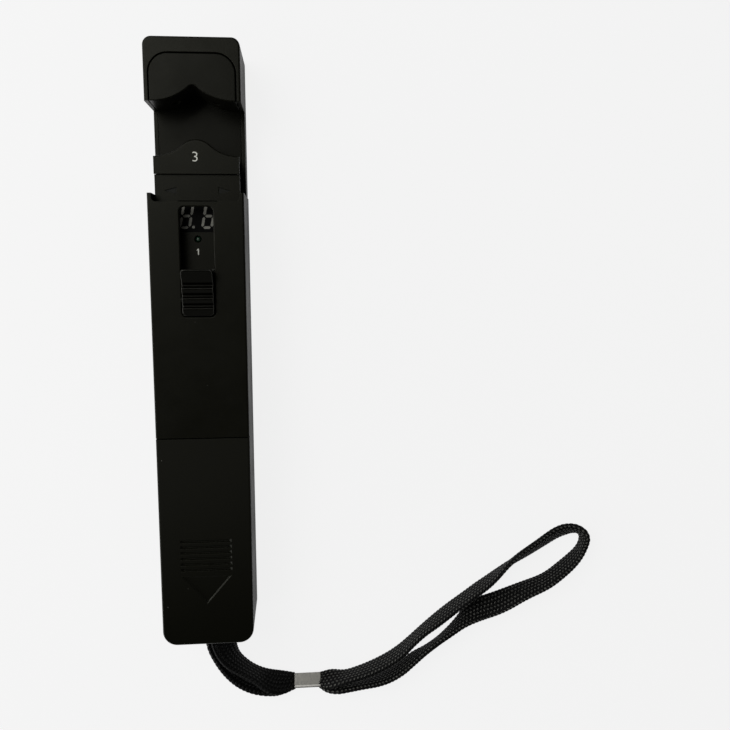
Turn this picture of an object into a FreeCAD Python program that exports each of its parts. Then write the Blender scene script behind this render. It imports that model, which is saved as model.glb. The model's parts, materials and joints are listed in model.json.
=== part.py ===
import FreeCAD, Part
import math
import os

V = FreeCAD.Vector

# Handheld live-fibre identifier, lying on its back. Millimetres, +Y to the head, +Z out of the front.

# Case
body_length = 196.0
body_width = 30.1
body_depth = 27.0
neck_step = 0.25
wall = 1.35
back_wall = 2.0
front_wall = 1.8
rail = 1.25
parting_z = 9.5
back_edge = 1.5
front_edge = 0.6
tail_radius = 4.8
head_radius = 2.7

# Lengths along the case, from the head down
hook_share = 0.098
mouth_share = 0.1418
ear_height = 2.7
bridge = 1.55
slider_length = 14.8
slot_width = 10.5
slot_spare = 5.85
slot_radius = 1.5
ear_fillet = 1.4
door_length = 70.8

# Running clearances
slide_gap = 0.25
seat_gap = 0.1
insert_gap = 0.35
seam_gap = 0.42
bore_gap = 0.3

# Jaws
insert_length = 14.25
insert_radius = 6.0
insert_edge = 0.3
notch_margin = 1.0
notch_depth = 4.8
notch_crest = 2.0
bump_height = 5.2
bump_crest = 6.5
adapter_edge = 0.55
adapter_gap = 0.12
adapter_front = 22.0
adapter_base = 5.58
groove_width = 3.2
groove_depth = 2.2
detector_share = 0.504

# Carriage
closed_gap = 1.5
carriage_reach = 6.2
carriage_wall = 1.3
panel_lip = 0.8
panel_front = 20.9
panel_thickness = 1.5
platform_thickness = 1.45
peg_radius = 1.25
peg_length = 3.0

# Battery door
door_thickness = 2.0
end_wall_top = 20.8
runner_width = 1.1
lip_reach = 0.55
skirt = 2.2
groove_pitch = 1.94
groove_half = 8.45
groove_sink = 0.55
groove_slope = 0.8
arrow_half = 8.25
arrow_length = 9.6
arrow_sink = 0.38
grip_grooves = 6

# Fasteners and boards
screw_radius = 1.0
boss_radius = 3.25
board_thickness = 1.2
board_seat = 3.6
battery_gap = 0.5
battery_height = 17.5
battery_length = 48.5
stud_height = 2.6
snap_height = 4.2
pad_thickness = 1.5

# Wrist strap
strap_width = 6.4
strap_thickness = 2.0
pin_radius = 1.5
pin_z = 5.8
ferrule_length = 9.8
ferrule_width = 6.8
ferrule_height = 4.6

# Derived stations
half = body_width / 2
inner = half - wall
neck_half = half - neck_step
neck_inner = neck_half - rail
head_y = body_length / 2
tail_y = -body_length / 2
hook_length = hook_share * body_length
mouth_length = mouth_share * body_length
hook_y = head_y - hook_length
ear_y = hook_y - mouth_length
cover_y = ear_y - ear_height
carriage_top = ear_y + carriage_reach
adapter_low = carriage_top + adapter_gap
crest_y = adapter_low + adapter_base + bump_height
travel = hook_y + notch_depth - closed_gap - crest_y
slot_length = slider_length + travel + slot_spare
slot_top = cover_y - bridge
slot_low = slot_top - slot_length
door_y = tail_y + door_length
plate_under = body_depth - front_wall

partition_y = door_y + 4.0
partition = 1.2
boss_y = partition_y + partition + 4.0
boss_x = inner - boss_radius - 1.0
spring_space = 0.615 * (slot_low - boss_y)
post_length = boss_radius + 0.06 * spring_space
carriage_low = boss_y + spring_space

bed_thickness = 1.5
bed_low = carriage_low - 0.243 * spring_space
bed_end = hook_y + 12.2
bed_under = parting_z - bed_thickness
ledge_inner = neck_inner - 1.2
board_half = ledge_inner - 0.8
ribbon_half = boss_x - boss_radius - 2.25
socket_half = ribbon_half + 0.6
lead_x = boss_x - boss_radius - 1.1
board_low = carriage_low - 0.5676 * spring_space
board_high = ear_y - 5.0

carriage_half = inner - slide_gap
frame_half = carriage_half - panel_lip
carriage_z = parting_z + slide_gap
panel_under = panel_front - panel_thickness
display_seat = carriage_z + 2.75
display_top = display_seat + board_thickness

notch_half = neck_inner - notch_margin
detector_offset = detector_share * notch_half
pocket_half = neck_inner - 2.9
adapter_half = carriage_half
adapter_z = carriage_z + platform_thickness + 0.15
adapter_mid = (adapter_z + adapter_front) / 2
peg_x = adapter_half - 5.5

arrow_y = ear_y + 1.15
arrow_x = carriage_half - 4.9
window_half = 6.3
window_high = cover_y + 0.7
window_low = window_high - 10.0
lamp_x = -0.3
lamp_y = window_low - 2.2
lamp_radius = 0.95
slider_low = slot_low + 0.3
slider_high = slider_low + slider_length
slider_half = slot_width / 2 - bore_gap - 0.05

tail_boss_x = inner - boss_radius + 0.3
tail_boss_y = tail_y + wall + 4.7
pin_y = tail_y + wall + 5.0
pocket_y = pin_y + pin_radius + strap_thickness + 0.6
door_under = body_depth - door_thickness

battery_half = inner - battery_gap
battery_low = pocket_y + partition + pad_thickness
battery_z = back_wall + 0.4
battery_top = battery_low + battery_length - stud_height
battery_mid = battery_z + battery_height / 2
stud_x = 0.48 * battery_half
snap_y = battery_top + snap_height


def block(x0, x1, y0, y1, z0, z1):
    """Box between two opposite corners."""
    return Part.makeBox(x1 - x0, y1 - y0, z1 - z0, V(x0, y0, z0))


def rod(radius, start, axis, length):
    """Round bar from a point along an axis."""
    return Part.makeCylinder(radius, length, V(*start), V(*axis))


def mirrored(shape):
    """The shape and its mirror image across the middle plane, as a list."""
    return [shape, shape.mirror(V(0, 0, 0), V(1, 0, 0))]


def fused(shapes):
    """One solid out of overlapping or touching shapes."""
    body = shapes[0].multiFuse(shapes[1:])
    return body.removeSplitter()


def filleted(points, radii, closed):
    """Wire of straight runs with a tangent arc at each corner that has a radius."""
    points = [V(*p) for p in points]
    count = len(points)
    edges = []
    ends = []
    for i, p in enumerate(points):
        if radii[i] == 0:
            ends.append((p, None, p))
            continue
        u = (points[i - 1] - p).normalize()
        v = (points[(i + 1) % count] - p).normalize()
        half_angle = u.getAngle(v) / 2
        reach = radii[i] / math.tan(half_angle)
        middle = (u + v).normalize()
        apex = p + middle * (radii[i] / math.sin(half_angle) - radii[i])
        ends.append((p + u * reach, apex, p + v * reach))
    for i in range(count if closed else count - 1):
        start = ends[i]
        stop = ends[(i + 1) % count]
        if start[1] is not None:
            edges.append(Part.Arc(start[0], start[1], start[2]).toShape())
        if (stop[0] - start[2]).Length > 1e-6:
            edges.append(Part.makeLine(start[2], stop[0]))
    return Part.Wire(edges)


def slab(wire, z0, z1):
    """Closed flat outline at z = 0, raised from z0 to z1."""
    face = Part.Face(wire)
    face.translate(V(0, 0, z0))
    return face.extrude(V(0, 0, z1 - z0))


def plate(x0, x1, y0, y1, z0, z1, low_radius, high_radius):
    """Flat plate with rounded corners at its low and high Y ends."""
    points = [(x0, y0, 0), (x1, y0, 0), (x1, y1, 0), (x0, y1, 0)]
    wire = filleted(points, [low_radius, low_radius, high_radius, high_radius], True)
    return slab(wire, z0, z1)


def along_x(profile, radii, x0, x1):
    """Closed outline given as (y, z) corners, drawn out along X."""
    wire = filleted([(x0, y, z) for y, z in profile], radii, True)
    return Part.Face(wire).extrude(V(x1 - x0, 0, 0))


def along_y(profile, y0, y1):
    """Closed outline given as (x, z) corners, drawn out along Y."""
    wire = filleted([(x, y0, z) for x, z in profile], [0] * len(profile), True)
    return Part.Face(wire).extrude(V(0, y1 - y0, 0))


def rounded_edges(shape, radius, chosen):
    """Round the edges whose two end points and middle all pass the test."""
    edges = []
    for edge in shape.Edges:
        middle = edge.valueAt((edge.FirstParameter + edge.LastParameter) / 2)
        if all(chosen(p) for p in [v.Point for v in edge.Vertexes] + [middle]):
            edges.append(edge)
    return shape.makeFillet(radius, edges)


def bell(half_width, height, crest, y0):
    """Bell curve of three tangent arcs, from the left shoulder over the crest to the right one."""
    total = (half_width ** 2 + height ** 2) / (2 * height)
    flank = total - crest
    angle = 2 * math.atan2(height, half_width)
    turn_x = crest * math.sin(angle)
    turn_y = y0 + height - crest * (1 - math.cos(angle))
    mid_x = half_width - flank * math.sin(angle / 2)
    mid_y = y0 + flank * (1 - math.cos(angle / 2))
    left = Part.Arc(V(-half_width, y0, 0), V(-mid_x, mid_y, 0), V(-turn_x, turn_y, 0))
    top = Part.Arc(V(-turn_x, turn_y, 0), V(0, y0 + height, 0), V(turn_x, turn_y, 0))
    right = Part.Arc(V(turn_x, turn_y, 0), V(mid_x, mid_y, 0), V(half_width, y0, 0))
    return [left.toShape(), top.toShape(), right.toShape()]


def chain(points):
    """Straight edges through points in the z = 0 plane."""
    pairs = zip(points[:-1], points[1:])
    return [Part.makeLine(V(a[0], a[1], 0), V(b[0], b[1], 0)) for a, b in pairs]


def case_outline(y1):
    """Outline of the body from the tail to y1, with rounded tail corners."""
    points = [(-half, tail_y, 0), (half, tail_y, 0), (half, y1, 0), (-half, y1, 0)]
    return filleted(points, [tail_radius, tail_radius, 0, 0], True)


def screw_positions():
    """The four case screws as (x, y)."""
    upper = [(boss_x, boss_y), (-boss_x, boss_y)]
    lower = [(tail_boss_x, tail_boss_y), (-tail_boss_x, tail_boss_y)]
    return upper + lower


def board_positions():
    """The four screws of the main board as (x, y)."""
    return [(x, y) for x in (2.5 - board_half, board_half - 2.5) for y in (carriage_low + 4.0, board_high - 6.0)]


def rear_shell():
    """Tray along the back with the full-depth hook at the head."""
    body = slab(case_outline(ear_y), 0, parting_z)
    body = rounded_edges(body, back_edge, lambda p: abs(p.z) < 1e-6 and p.y < ear_y - 1e-3)
    neck = plate(-neck_half, neck_half, ear_y - 6, head_y, 0, parting_z, 0, head_radius)
    neck = rounded_edges(neck, back_edge, lambda p: abs(p.z) < 1e-6 and p.y > ear_y - 6 + 1e-3)
    hook = plate(-neck_half, neck_half, hook_y, head_y, parting_z - 2, body_depth, 0, head_radius)
    hook = rounded_edges(hook, front_edge, lambda p: p.z > body_depth - 1e-6 and p.y > hook_y + 1e-3)
    shell = fused([body, neck, hook])
    cuts = [plate(-inner, inner, tail_y + wall, ear_y, back_wall, parting_z + 1, tail_radius - wall, 0)]
    cuts.append(block(-neck_inner, neck_inner, ear_y - 1, hook_y, back_wall, parting_z + 1))
    cuts.append(block(-neck_inner, neck_inner, hook_y - 1, bed_end + seat_gap, back_wall, parting_z))
    cuts.append(plate(-neck_inner, neck_inner, hook_y - 5, hook_y + insert_length + insert_gap,
                      parting_z, body_depth + 1, 0, insert_radius + insert_gap))
    shell = shell.cut(cuts[0].multiFuse(cuts[1:]))
    adds = mirrored(block(ledge_inner, inner + 0.2, bed_low, ear_y + 0.2, back_wall - 0.5, bed_under))
    adds += mirrored(block(ledge_inner, neck_inner + 0.2, ear_y, bed_end + 0.5, back_wall - 0.5, bed_under))
    adds.append(block(-inner - 0.2, inner + 0.2, partition_y, partition_y + partition,
                      back_wall - 0.5, parting_z))
    adds.append(block(-inner - 0.2, inner + 0.2, pocket_y, pocket_y + partition,
                      back_wall - 0.5, parting_z))
    adds += mirrored(block(4.6, 6.4, tail_y + 0.5, pocket_y + 0.3, back_wall - 0.5, parting_z))
    for x, y in screw_positions():
        adds.append(rod(boss_radius, (x, y, back_wall - 0.5), (0, 0, 1), parting_z - back_wall + 0.5))
    for x, y in board_positions():
        adds.append(rod(2.2, (x, y, back_wall - 0.5), (0, 0, 1), board_seat - back_wall + 0.5))
    shell = fused([shell] + adds)
    holes = [block(-4.2, 4.2, tail_y - 1, tail_y + wall + 1, back_wall, parting_z + 1)]
    holes.append(block(-5.2, 5.2, partition_y - 1, partition_y + partition + 1, 6.5, parting_z + 1))
    holes.append(rod(pin_radius + 0.05, (-6.4 - 0.1, pin_y, pin_z), (1, 0, 0), 2 * 6.4 + 0.2))
    for x, y in screw_positions():
        holes.append(rod(screw_radius + 0.5, (x, y, -1), (0, 0, 1), parting_z + 2))
        holes.append(rod(screw_radius + 1.7, (x, y, -1), (0, 0, 1), 4.2))
    for x, y in board_positions():
        holes.append(rod(0.8, (x, y, back_wall - 0.8), (0, 0, 1), board_seat))
    return shell.cut(holes[0].multiFuse(holes[1:]))


def front_shell():
    """Channel over the lower body, open to the head, with the thumb slot."""
    shell = slab(case_outline(ear_y), parting_z, body_depth)
    shell = rounded_edges(shell, front_edge, lambda p: p.z > body_depth - 1e-6 and p.y < ear_y - 1e-3)
    cuts = [plate(-inner, inner, tail_y + wall, ear_y + 1, parting_z - 1, plate_under, tail_radius - wall, 0)]
    cuts += mirrored(block(half - 0.25, half + 1, tail_y - 1, ear_y + 1, parting_z - 1, parting_z + 0.35))
    cuts.append(block(-half - 1, half + 1, tail_y - 1, tail_y + 0.25, parting_z - 1, parting_z + 0.35))
    cuts.append(plate(-inner, inner, cover_y, ear_y + 5, plate_under - 1, body_depth + 1, ear_fillet, 0))
    cuts.append(block(-half - 1, half + 1, tail_y - 1, door_y, door_under - 0.15, body_depth + 1))
    cuts.append(block(-half - 1, half + 1, tail_y - 1, tail_y + skirt + 0.2, end_wall_top, body_depth + 1))
    cuts.append(block(-inner, inner, tail_y, door_y, end_wall_top, plate_under))
    cuts += mirrored(block(inner - 0.1, inner + lip_reach - 0.1, tail_y, door_y, 21.8, 23.2))
    shell = shell.cut(cuts[0].multiFuse(cuts[1:]))
    slot = plate(-slot_width / 2, slot_width / 2, slot_low, slot_top, plate_under - 1, body_depth + 1,
                 slot_radius, slot_radius)
    shell = shell.cut(slot)
    shell = rounded_edges(shell, 0.4, lambda p: (p.z > body_depth - 1e-6 and abs(p.x) < slot_width / 2 + 0.01
                                                 and slot_low - 0.01 < p.y < slot_top + 0.01))
    adds = [block(-inner - 0.2, inner + 0.2, partition_y, partition_y + partition,
                  parting_z, plate_under + 0.5)]
    for x, y in screw_positions():
        top = plate_under + 0.3 if y == boss_y else end_wall_top
        adds.append(rod(boss_radius, (x, y, parting_z), (0, 0, 1), top - parting_z))
    adds += mirrored(block(boss_x - 1.0, boss_x + 1.0, boss_y, boss_y + post_length, 12.5, 15.5))
    shell = fused([shell] + adds)
    holes = [block(-5.2, 5.2, partition_y - 1, partition_y + partition + 1, parting_z - 1, 12.5)]
    for x, y in screw_positions():
        holes.append(rod(screw_radius + 0.1, (x, y, parting_z - 1), (0, 0, 1), 9.0))
    return shell.cut(holes[0].multiFuse(holes[1:]))


def sunk_arrow(y):
    """Cutter of the door's arrow: a triangle whose three sides slope in at 45 degrees."""
    slant = math.hypot(arrow_half, arrow_length)
    inscribed = arrow_half * arrow_length / (arrow_half + slant)
    wires = []
    for sink in (-arrow_sink, arrow_sink):
        share = (inscribed - sink) / inscribed
        corners = [(-arrow_half, inscribed), (0, inscribed - arrow_length), (arrow_half, inscribed)]
        points = [V(share * a, y - inscribed + share * b, body_depth - sink) for a, b in corners]
        wires.append(Part.makePolygon(points + points[:1]))
    return Part.makeLoft(wires, True, True)


def battery_door():
    """Full-width sliding door with runners, end skirt, grip grooves and a recessed arrow."""
    door = slab(case_outline(door_y - seam_gap), end_wall_top + 0.15, body_depth)
    door = rounded_edges(door, front_edge, lambda p: (p.z > body_depth - 1e-6
                                                      and p.y < door_y - seam_gap - 1e-3))
    door = door.cut(block(-half - 1, half + 1, tail_y + skirt, door_y + 1, end_wall_top, door_under))
    runner_x = inner - bore_gap
    low = tail_y + wall + 2.5
    high = door_y - 6
    adds = mirrored(block(runner_x - runner_width, runner_x, low, high, end_wall_top + 0.2, door_under + 0.2))
    adds += mirrored(block(runner_x - 0.2, runner_x + lip_reach, low, high, 22.1, 22.9))
    adds.append(block(-6, 6, door_y - 3, door_y + 2.5, door_under - 1.6, door_under - 0.2))
    adds.append(block(-6, 6, door_y - 3, door_y - 1.2, door_under - 0.4, door_under + 0.2))
    door = fused([door] + adds)
    grip_y = tail_y + 35.9
    cuts = []
    for i in range(grip_grooves):
        y = grip_y - i * groove_pitch
        profile = [(y - 0.55, body_depth + 0.1), (y - 0.25, body_depth - groove_sink),
                   (y + 0.25, body_depth - groove_sink), (y + 0.55, body_depth + 0.1)]
        groove = along_x(profile, [0, 0, 0, 0], -groove_half - 1, groove_half + 1)
        top, floor = groove_half + 0.1 * groove_slope / groove_sink, groove_half - groove_slope
        ends = [(-top, body_depth + 0.1), (-floor, body_depth - groove_sink),
                (floor, body_depth - groove_sink), (top, body_depth + 0.1)]
        cuts.append(groove.common(along_y(ends, y - 1, y + 1)))
    cuts.append(sunk_arrow(grip_y - (grip_grooves - 1) * groove_pitch - 2.3))
    return door.cut(cuts[0].multiFuse(cuts[1:]))


def detector_axis(side):
    """Point on the notch flank and the direction into the insert, for one detector."""
    total = (notch_half ** 2 + notch_depth ** 2) / (2 * notch_depth)
    flank = total - notch_crest
    run = notch_half - detector_offset
    y = hook_y + flank - math.sqrt(flank ** 2 - run ** 2)
    slope = math.asin(run / flank)
    return (side * detector_offset, y, adapter_mid), (side * math.sin(slope), math.cos(slope), 0)


def step_along(point, axis, distance):
    """The point moved along the axis."""
    return tuple(p + a * distance for p, a in zip(point, axis))


def jaw_insert():
    """Upper jaw: block with rounded head corners and the bell-shaped notch below."""
    x = neck_inner - insert_gap
    y1 = hook_y + insert_length
    r = insert_radius
    bend = r * (1 - math.sqrt(0.5))
    edges = chain([(-x, hook_y), (-notch_half, hook_y)])
    edges += bell(notch_half, notch_depth, notch_crest, hook_y)
    edges += chain([(notch_half, hook_y), (x, hook_y), (x, y1 - r)])
    edges.append(Part.Arc(V(x, y1 - r, 0), V(x - bend, y1 - bend, 0), V(x - r, y1, 0)).toShape())
    edges += chain([(x - r, y1), (-x + r, y1)])
    edges.append(Part.Arc(V(-x + r, y1, 0), V(-x + bend, y1 - bend, 0), V(-x, y1 - r, 0)).toShape())
    edges += chain([(-x, y1 - r), (-x, hook_y)])
    jaw = slab(Part.Wire(edges), parting_z, body_depth)
    jaw = rounded_edges(jaw, insert_edge, lambda p: p.z > body_depth - 1e-6)
    cuts = [block(-pocket_half, pocket_half, hook_y + 8.2, hook_y + 11.4, parting_z - 1, adapter_mid + 4.2)]
    for side in (-1, 1):
        point, axis = detector_axis(side)
        cuts.append(rod(1.5, step_along(point, axis, -3), axis, 6))
        cuts.append(rod(2.55, step_along(point, axis, 1.2), axis, 9))
    return jaw.cut(cuts[0].multiFuse(cuts[1:]))


def photodiode(side):
    """Round can with a flange and two leads, looking out of the notch flank."""
    point, axis = detector_axis(side)
    can = rod(2.35, step_along(point, axis, 1.3), axis, 3.4)
    flange = rod(2.5, step_along(point, axis, 4.4), axis, 0.6)
    leads = []
    for z in (-1.0, 1.0):
        base = step_along(point, axis, 4.8)
        leads.append(rod(0.25, (base[0], base[1], base[2] + z), axis, 2.4))
    return fused([can, flange] + leads)


def detector_flex():
    """Flexible strip under the bed that rises behind the detectors and spreads into two arms."""
    y1 = hook_y + 10.0
    strip = block(-3.0, 3.0, board_high - 1.2, y1, 6.85, 7.15)
    riser = block(-3.0, 3.0, y1 - 0.3, y1, 6.85, adapter_mid + 2.0)
    arms = block(-pocket_half + 0.8, pocket_half - 0.8, y1 - 0.3, y1, adapter_mid - 2.0, adapter_mid + 2.0)
    return fused([strip, riser, arms])


def slide_bed():
    """Flat bed in the neck and under the insert."""
    x = neck_inner - 0.15
    bed = block(-x, x, bed_low, bed_end, bed_under, parting_z)
    return bed.cut(block(-4.0, 4.0, hook_y + 8.6, hook_y + 10.8, bed_under - 1, parting_z + 1))


def main_board():
    """Circuit board under the bed."""
    board = plate(-board_half, board_half, board_low, board_high, board_seat, board_seat + board_thickness,
                  0.8, 0.8)
    for x, y in board_positions():
        board = board.cut(rod(0.9, (x, y, board_seat - 1), (0, 0, 1), board_thickness + 2))
    return board


def board_chips():
    """Amplifier and logic packages on the main board."""
    z = board_seat + board_thickness
    y = board_high
    places = [(-3.5, 3.5, y - 22.0, y - 15.0), (-2.0, 2.0, y - 12.0, y - 7.0), (-8.5, -4.5, y - 29.0, y - 23.5)]
    return Part.makeCompound([block(a, b, c, d, z, z + 1.4) for a, b, c, d in places])


def flex_connectors():
    """Connectors of the detector strip and of the display ribbon."""
    z = board_seat + board_thickness
    y = carriage_low
    low = block(-socket_half, socket_half, y + 0.5, y + 3.5, z, z + 2.2)
    low = low.cut(block(-ribbon_half - 0.1, ribbon_half + 0.1, y - 0.5, y + 2.5, 5.9, 6.4))
    y = board_high
    high = block(-3.6, 3.6, y - 3.0, y, z, 7.6)
    high = high.cut(block(-3.1, 3.1, y - 1.3, y + 1.0, 6.75, 7.25))
    return Part.makeCompound([low, high])


def board_screws():
    """Four small screws with round heads."""
    z = board_seat + board_thickness
    screws = []
    for x, y in board_positions():
        head = rod(1.7, (x, y, z), (0, 0, 1), 1.1)
        head = head.cut(block(x - 1.2, x + 1.2, y - 0.2, y + 0.2, z + 0.6, z + 2))
        screws.append(fused([head, rod(0.75, (x, y, back_wall - 0.6), (0, 0, 1), z - back_wall + 0.8)]))
    return Part.makeCompound(screws)


def power_contact():
    """Leaf on the main board that the carriage presses at rest."""
    z = board_seat + board_thickness
    y = bed_low - 1.8
    foot = block(6.0, 8.4, y - 2.2, y + 0.4, z, z + 0.4)
    stem = block(6.0, 8.4, y, y + 0.4, z, 11.6)
    finger = block(6.0, 8.4, y, carriage_low - 0.3, 11.2, 11.6)
    return fused([foot, stem, finger])


def carriage_frame():
    """Sled with side walls, board ledges, and a platform with two pegs for the adapter."""
    x = frame_half
    w = carriage_wall
    frame = block(-x, x, carriage_low, carriage_top, carriage_z, panel_under)
    frame = frame.cut(block(-x + w, x - w, carriage_low + w, carriage_top - w, carriage_z + w, panel_under + 1))
    frame = frame.cut(block(-ribbon_half - 1, ribbon_half + 1, carriage_low - 1, carriage_low + w + 1, 14.0, 17.0))
    ledges = mirrored(block(x - w - 1.2, x - w + 0.2, carriage_low + w, carriage_top - w,
                            carriage_z + w - 0.2, display_seat))
    platform = plate(0.3 - frame_half, frame_half - 0.3, carriage_top - 0.5, adapter_low + adapter_base - 0.2,
                     carriage_z, carriage_z + platform_thickness, 0, 1.0)
    pegs = mirrored(rod(peg_radius, (peg_x, adapter_low + 2.5, carriage_z + 0.5), (0, 0, 1),
                        platform_thickness - 0.5 + peg_length))
    lugs = mirrored(block(boss_x - 1.0, boss_x + 1.0, carriage_low - 0.9, carriage_low + 0.3, 12.5, 15.5))
    return fused([frame, platform] + ledges + pegs + lugs)


def adapter_head():
    """Lower jaw: bell-shaped crest, fibre groove along it, two peg holes below."""
    shoulder = adapter_low + adapter_base
    edges = bell(adapter_half, bump_height, bump_crest, shoulder)
    edges += chain([(adapter_half, shoulder), (adapter_half, adapter_low), (-adapter_half, adapter_low),
                    (-adapter_half, shoulder)])
    head = slab(Part.Wire(edges), adapter_z, adapter_front)
    head = rounded_edges(head, adapter_edge, lambda p: p.z > adapter_front - 1e-6 and p.y > shoulder - 1e-3)
    sides = mirrored(block(frame_half, adapter_half + 1, adapter_low - 1, shoulder + bump_height,
                           adapter_z - 1, adapter_front - panel_thickness))
    head = head.cut(sides[0].multiFuse(sides[1:]))
    upper = bell(adapter_half, bump_height, bump_crest, shoulder - groove_depth)
    top = shoulder + bump_height + 2
    upper += chain([(adapter_half, shoulder - groove_depth), (adapter_half + 1, shoulder - groove_depth),
                    (adapter_half + 1, top), (-adapter_half - 1, top),
                    (-adapter_half - 1, shoulder - groove_depth), (-adapter_half, shoulder - groove_depth)])
    groove = slab(Part.Wire(upper), adapter_mid - groove_width / 2, adapter_mid + groove_width / 2)
    head = head.cut(groove)
    holes = mirrored(rod(peg_radius + bore_gap, (peg_x, adapter_low + 2.5, adapter_z - 1), (0, 0, 1),
                         peg_length + 1.3))
    return head.cut(holes[0].multiFuse(holes[1:]))


def arrow_wire(side, grow):
    """Narrow triangle pointing to one side."""
    x0 = side * (arrow_x - 1.8 - grow)
    x1 = side * (arrow_x + 1.8 + 1.5 * grow)
    points = [(x0, arrow_y - 1.0 - grow, 0), (x1, arrow_y, 0), (x0, arrow_y + 1.0 + grow, 0)]
    return filleted(points, [0, 0, 0], True)


def slider_screw_positions():
    """The two screws of the thumb slider along Y."""
    return [slider_low + 3.6, slider_low + 11.2]


def indicator_panel():
    """Front of the carriage, with arrow windows, display window and lamp hole."""
    panel = block(-carriage_half, carriage_half, carriage_low, carriage_top, panel_under, panel_front)
    cuts = [plate(-window_half, window_half, window_low, window_high, panel_under - 1, panel_front + 1, 0.5, 0.5)]
    cuts.append(rod(lamp_radius + 0.2, (lamp_x, lamp_y, panel_under - 1), (0, 0, 1), panel_thickness + 2))
    cuts += [slab(arrow_wire(side, 0.1), panel_under - 1, panel_front + 1) for side in (-1, 1)]
    for y in slider_screw_positions():
        cuts.append(rod(0.95, (0, y, panel_under - 1), (0, 0, 1), panel_thickness + 2))
    return panel.cut(cuts[0].multiFuse(cuts[1:]))


def arrow_lens(side):
    """Arrow-shaped window with a flange under the panel."""
    lens = slab(arrow_wire(side, 0.0), display_top + 1.4, panel_front - 0.25)
    x = sorted([side * (arrow_x - 2.3), side * (arrow_x + 2.3)])
    return fused([lens, block(x[0], x[1], arrow_y - 1.6, arrow_y + 1.6, panel_under - 1.0, panel_under)])


def display_board():
    """Circuit board in the carriage."""
    x = frame_half - carriage_wall - 0.2
    return plate(-x, x, carriage_low + 2.5, carriage_top - 1.7, display_seat, display_top, 0.8, 0.8)


def display_module():
    """Two-digit display block with a raised face in the panel's window."""
    base = block(-7.5, 7.5, window_low - 0.4, window_high + 0.4, display_top, panel_under - 0.1)
    face = plate(-window_half + 0.1, window_half - 0.1, window_low + 0.1, window_high - 0.1,
                 panel_under - 0.3, panel_front - 0.6, 0.5, 0.5)
    return fused([base, face])


def tone_led():
    """Small round lamp with a domed end and a flange."""
    r = lamp_radius
    top = panel_front - r - 0.25
    body = rod(r, (lamp_x, lamp_y, display_top), (0, 0, 1), top - display_top)
    flange = rod(r + 0.25, (lamp_x, lamp_y, display_top), (0, 0, 1), 0.8)
    dome = Part.makeSphere(r, V(lamp_x, lamp_y, top), V(0, 0, 1), 0, 90, 360)
    return fused([body, flange, dome])


def arrow_led(side):
    """Flat chip lamp under an arrow window."""
    x = side * arrow_x
    return block(x - 1.5, x + 1.5, arrow_y - 0.8, arrow_y + 0.8, display_top, display_top + 1.1)


def ribbon_socket():
    """Connector at the lower end of the display board."""
    y = carriage_low
    socket = block(-socket_half, socket_half, y + 3.0, y + 6.0, display_top, display_top + 2.4)
    return socket.cut(block(-ribbon_half - 0.1, ribbon_half + 0.1, y + 2, y + 4.4, 15.2, 15.7))


def display_ribbon():
    """Folded ribbon from the main board to the display board."""
    low, high, t = 6.0, 15.3, 0.3
    fold = carriage_low - 0.595 * spring_space
    start = carriage_low + 2.3
    outer_r = (high + t - low) / 2
    outside = [(start, low), (fold - outer_r, low), (fold - outer_r, high + t), (carriage_low + 4.2, high + t)]
    inside = [(carriage_low + 4.2, high), (fold - outer_r + t, high), (fold - outer_r + t, low + t), (start, low + t)]
    radii = [0, outer_r - 0.01, outer_r - 0.01, 0, 0, outer_r - t - 0.01, outer_r - t - 0.01, 0]
    return along_x(outside + inside, radii, -ribbon_half, ribbon_half)


def thumb_slider():
    """Thumb piece: flange under the front plate, stem in the slot, ramp with ridges."""
    y0, y1 = slider_low, slider_high
    flange = block(-7.0, 7.0, y0, y1, panel_front, panel_front + 1.8)
    z = body_depth
    profile = [(y0, panel_front + 1.0), (y0, z + 0.6), (y0 + 1.8, z + 1.9), (y0 + 2.5, z + 1.9),
               (y0 + 3.2, z + 0.9), (y0 + 5.0, z + 2.4), (y0 + 5.7, z + 2.4), (y0 + 6.4, z + 1.3),
               (y0 + 8.2, z + 2.8), (y0 + 8.9, z + 2.8), (y0 + 9.7, z + 1.6), (y0 + 14.0, z + 4.9),
               (y1, z + 4.9), (y1, panel_front + 1.0)]
    radii = [0, 0.3, 0.25, 0.25, 0.3, 0.25, 0.25, 0.3, 0.25, 0.25, 0.4, 0.3, 0.3, 0]
    knob = along_x(profile, radii, -slider_half, slider_half)
    corner = slot_radius - bore_gap + 0.2
    knob = knob.common(plate(-slider_half, slider_half, y0, y1, panel_front, z + 6, corner, corner))
    slider = fused([flange, knob])
    for y in slider_screw_positions():
        slider = slider.cut(rod(0.8, (0, y, panel_front - 1), (0, 0, 1), 6.0))
    return slider


def slider_screws():
    """Two screws from inside the carriage into the thumb slider."""
    screws = []
    for y in slider_screw_positions():
        head = rod(1.6, (0, y, panel_under - 1.1), (0, 0, 1), 1.1)
        head = head.cut(block(-1.1, 1.1, y - 0.2, y + 0.2, panel_under - 2, panel_under - 0.6))
        screws.append(fused([head, rod(0.75, (0, y, panel_under - 0.2), (0, 0, 1), 6.0)]))
    return Part.makeCompound(screws)


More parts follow.
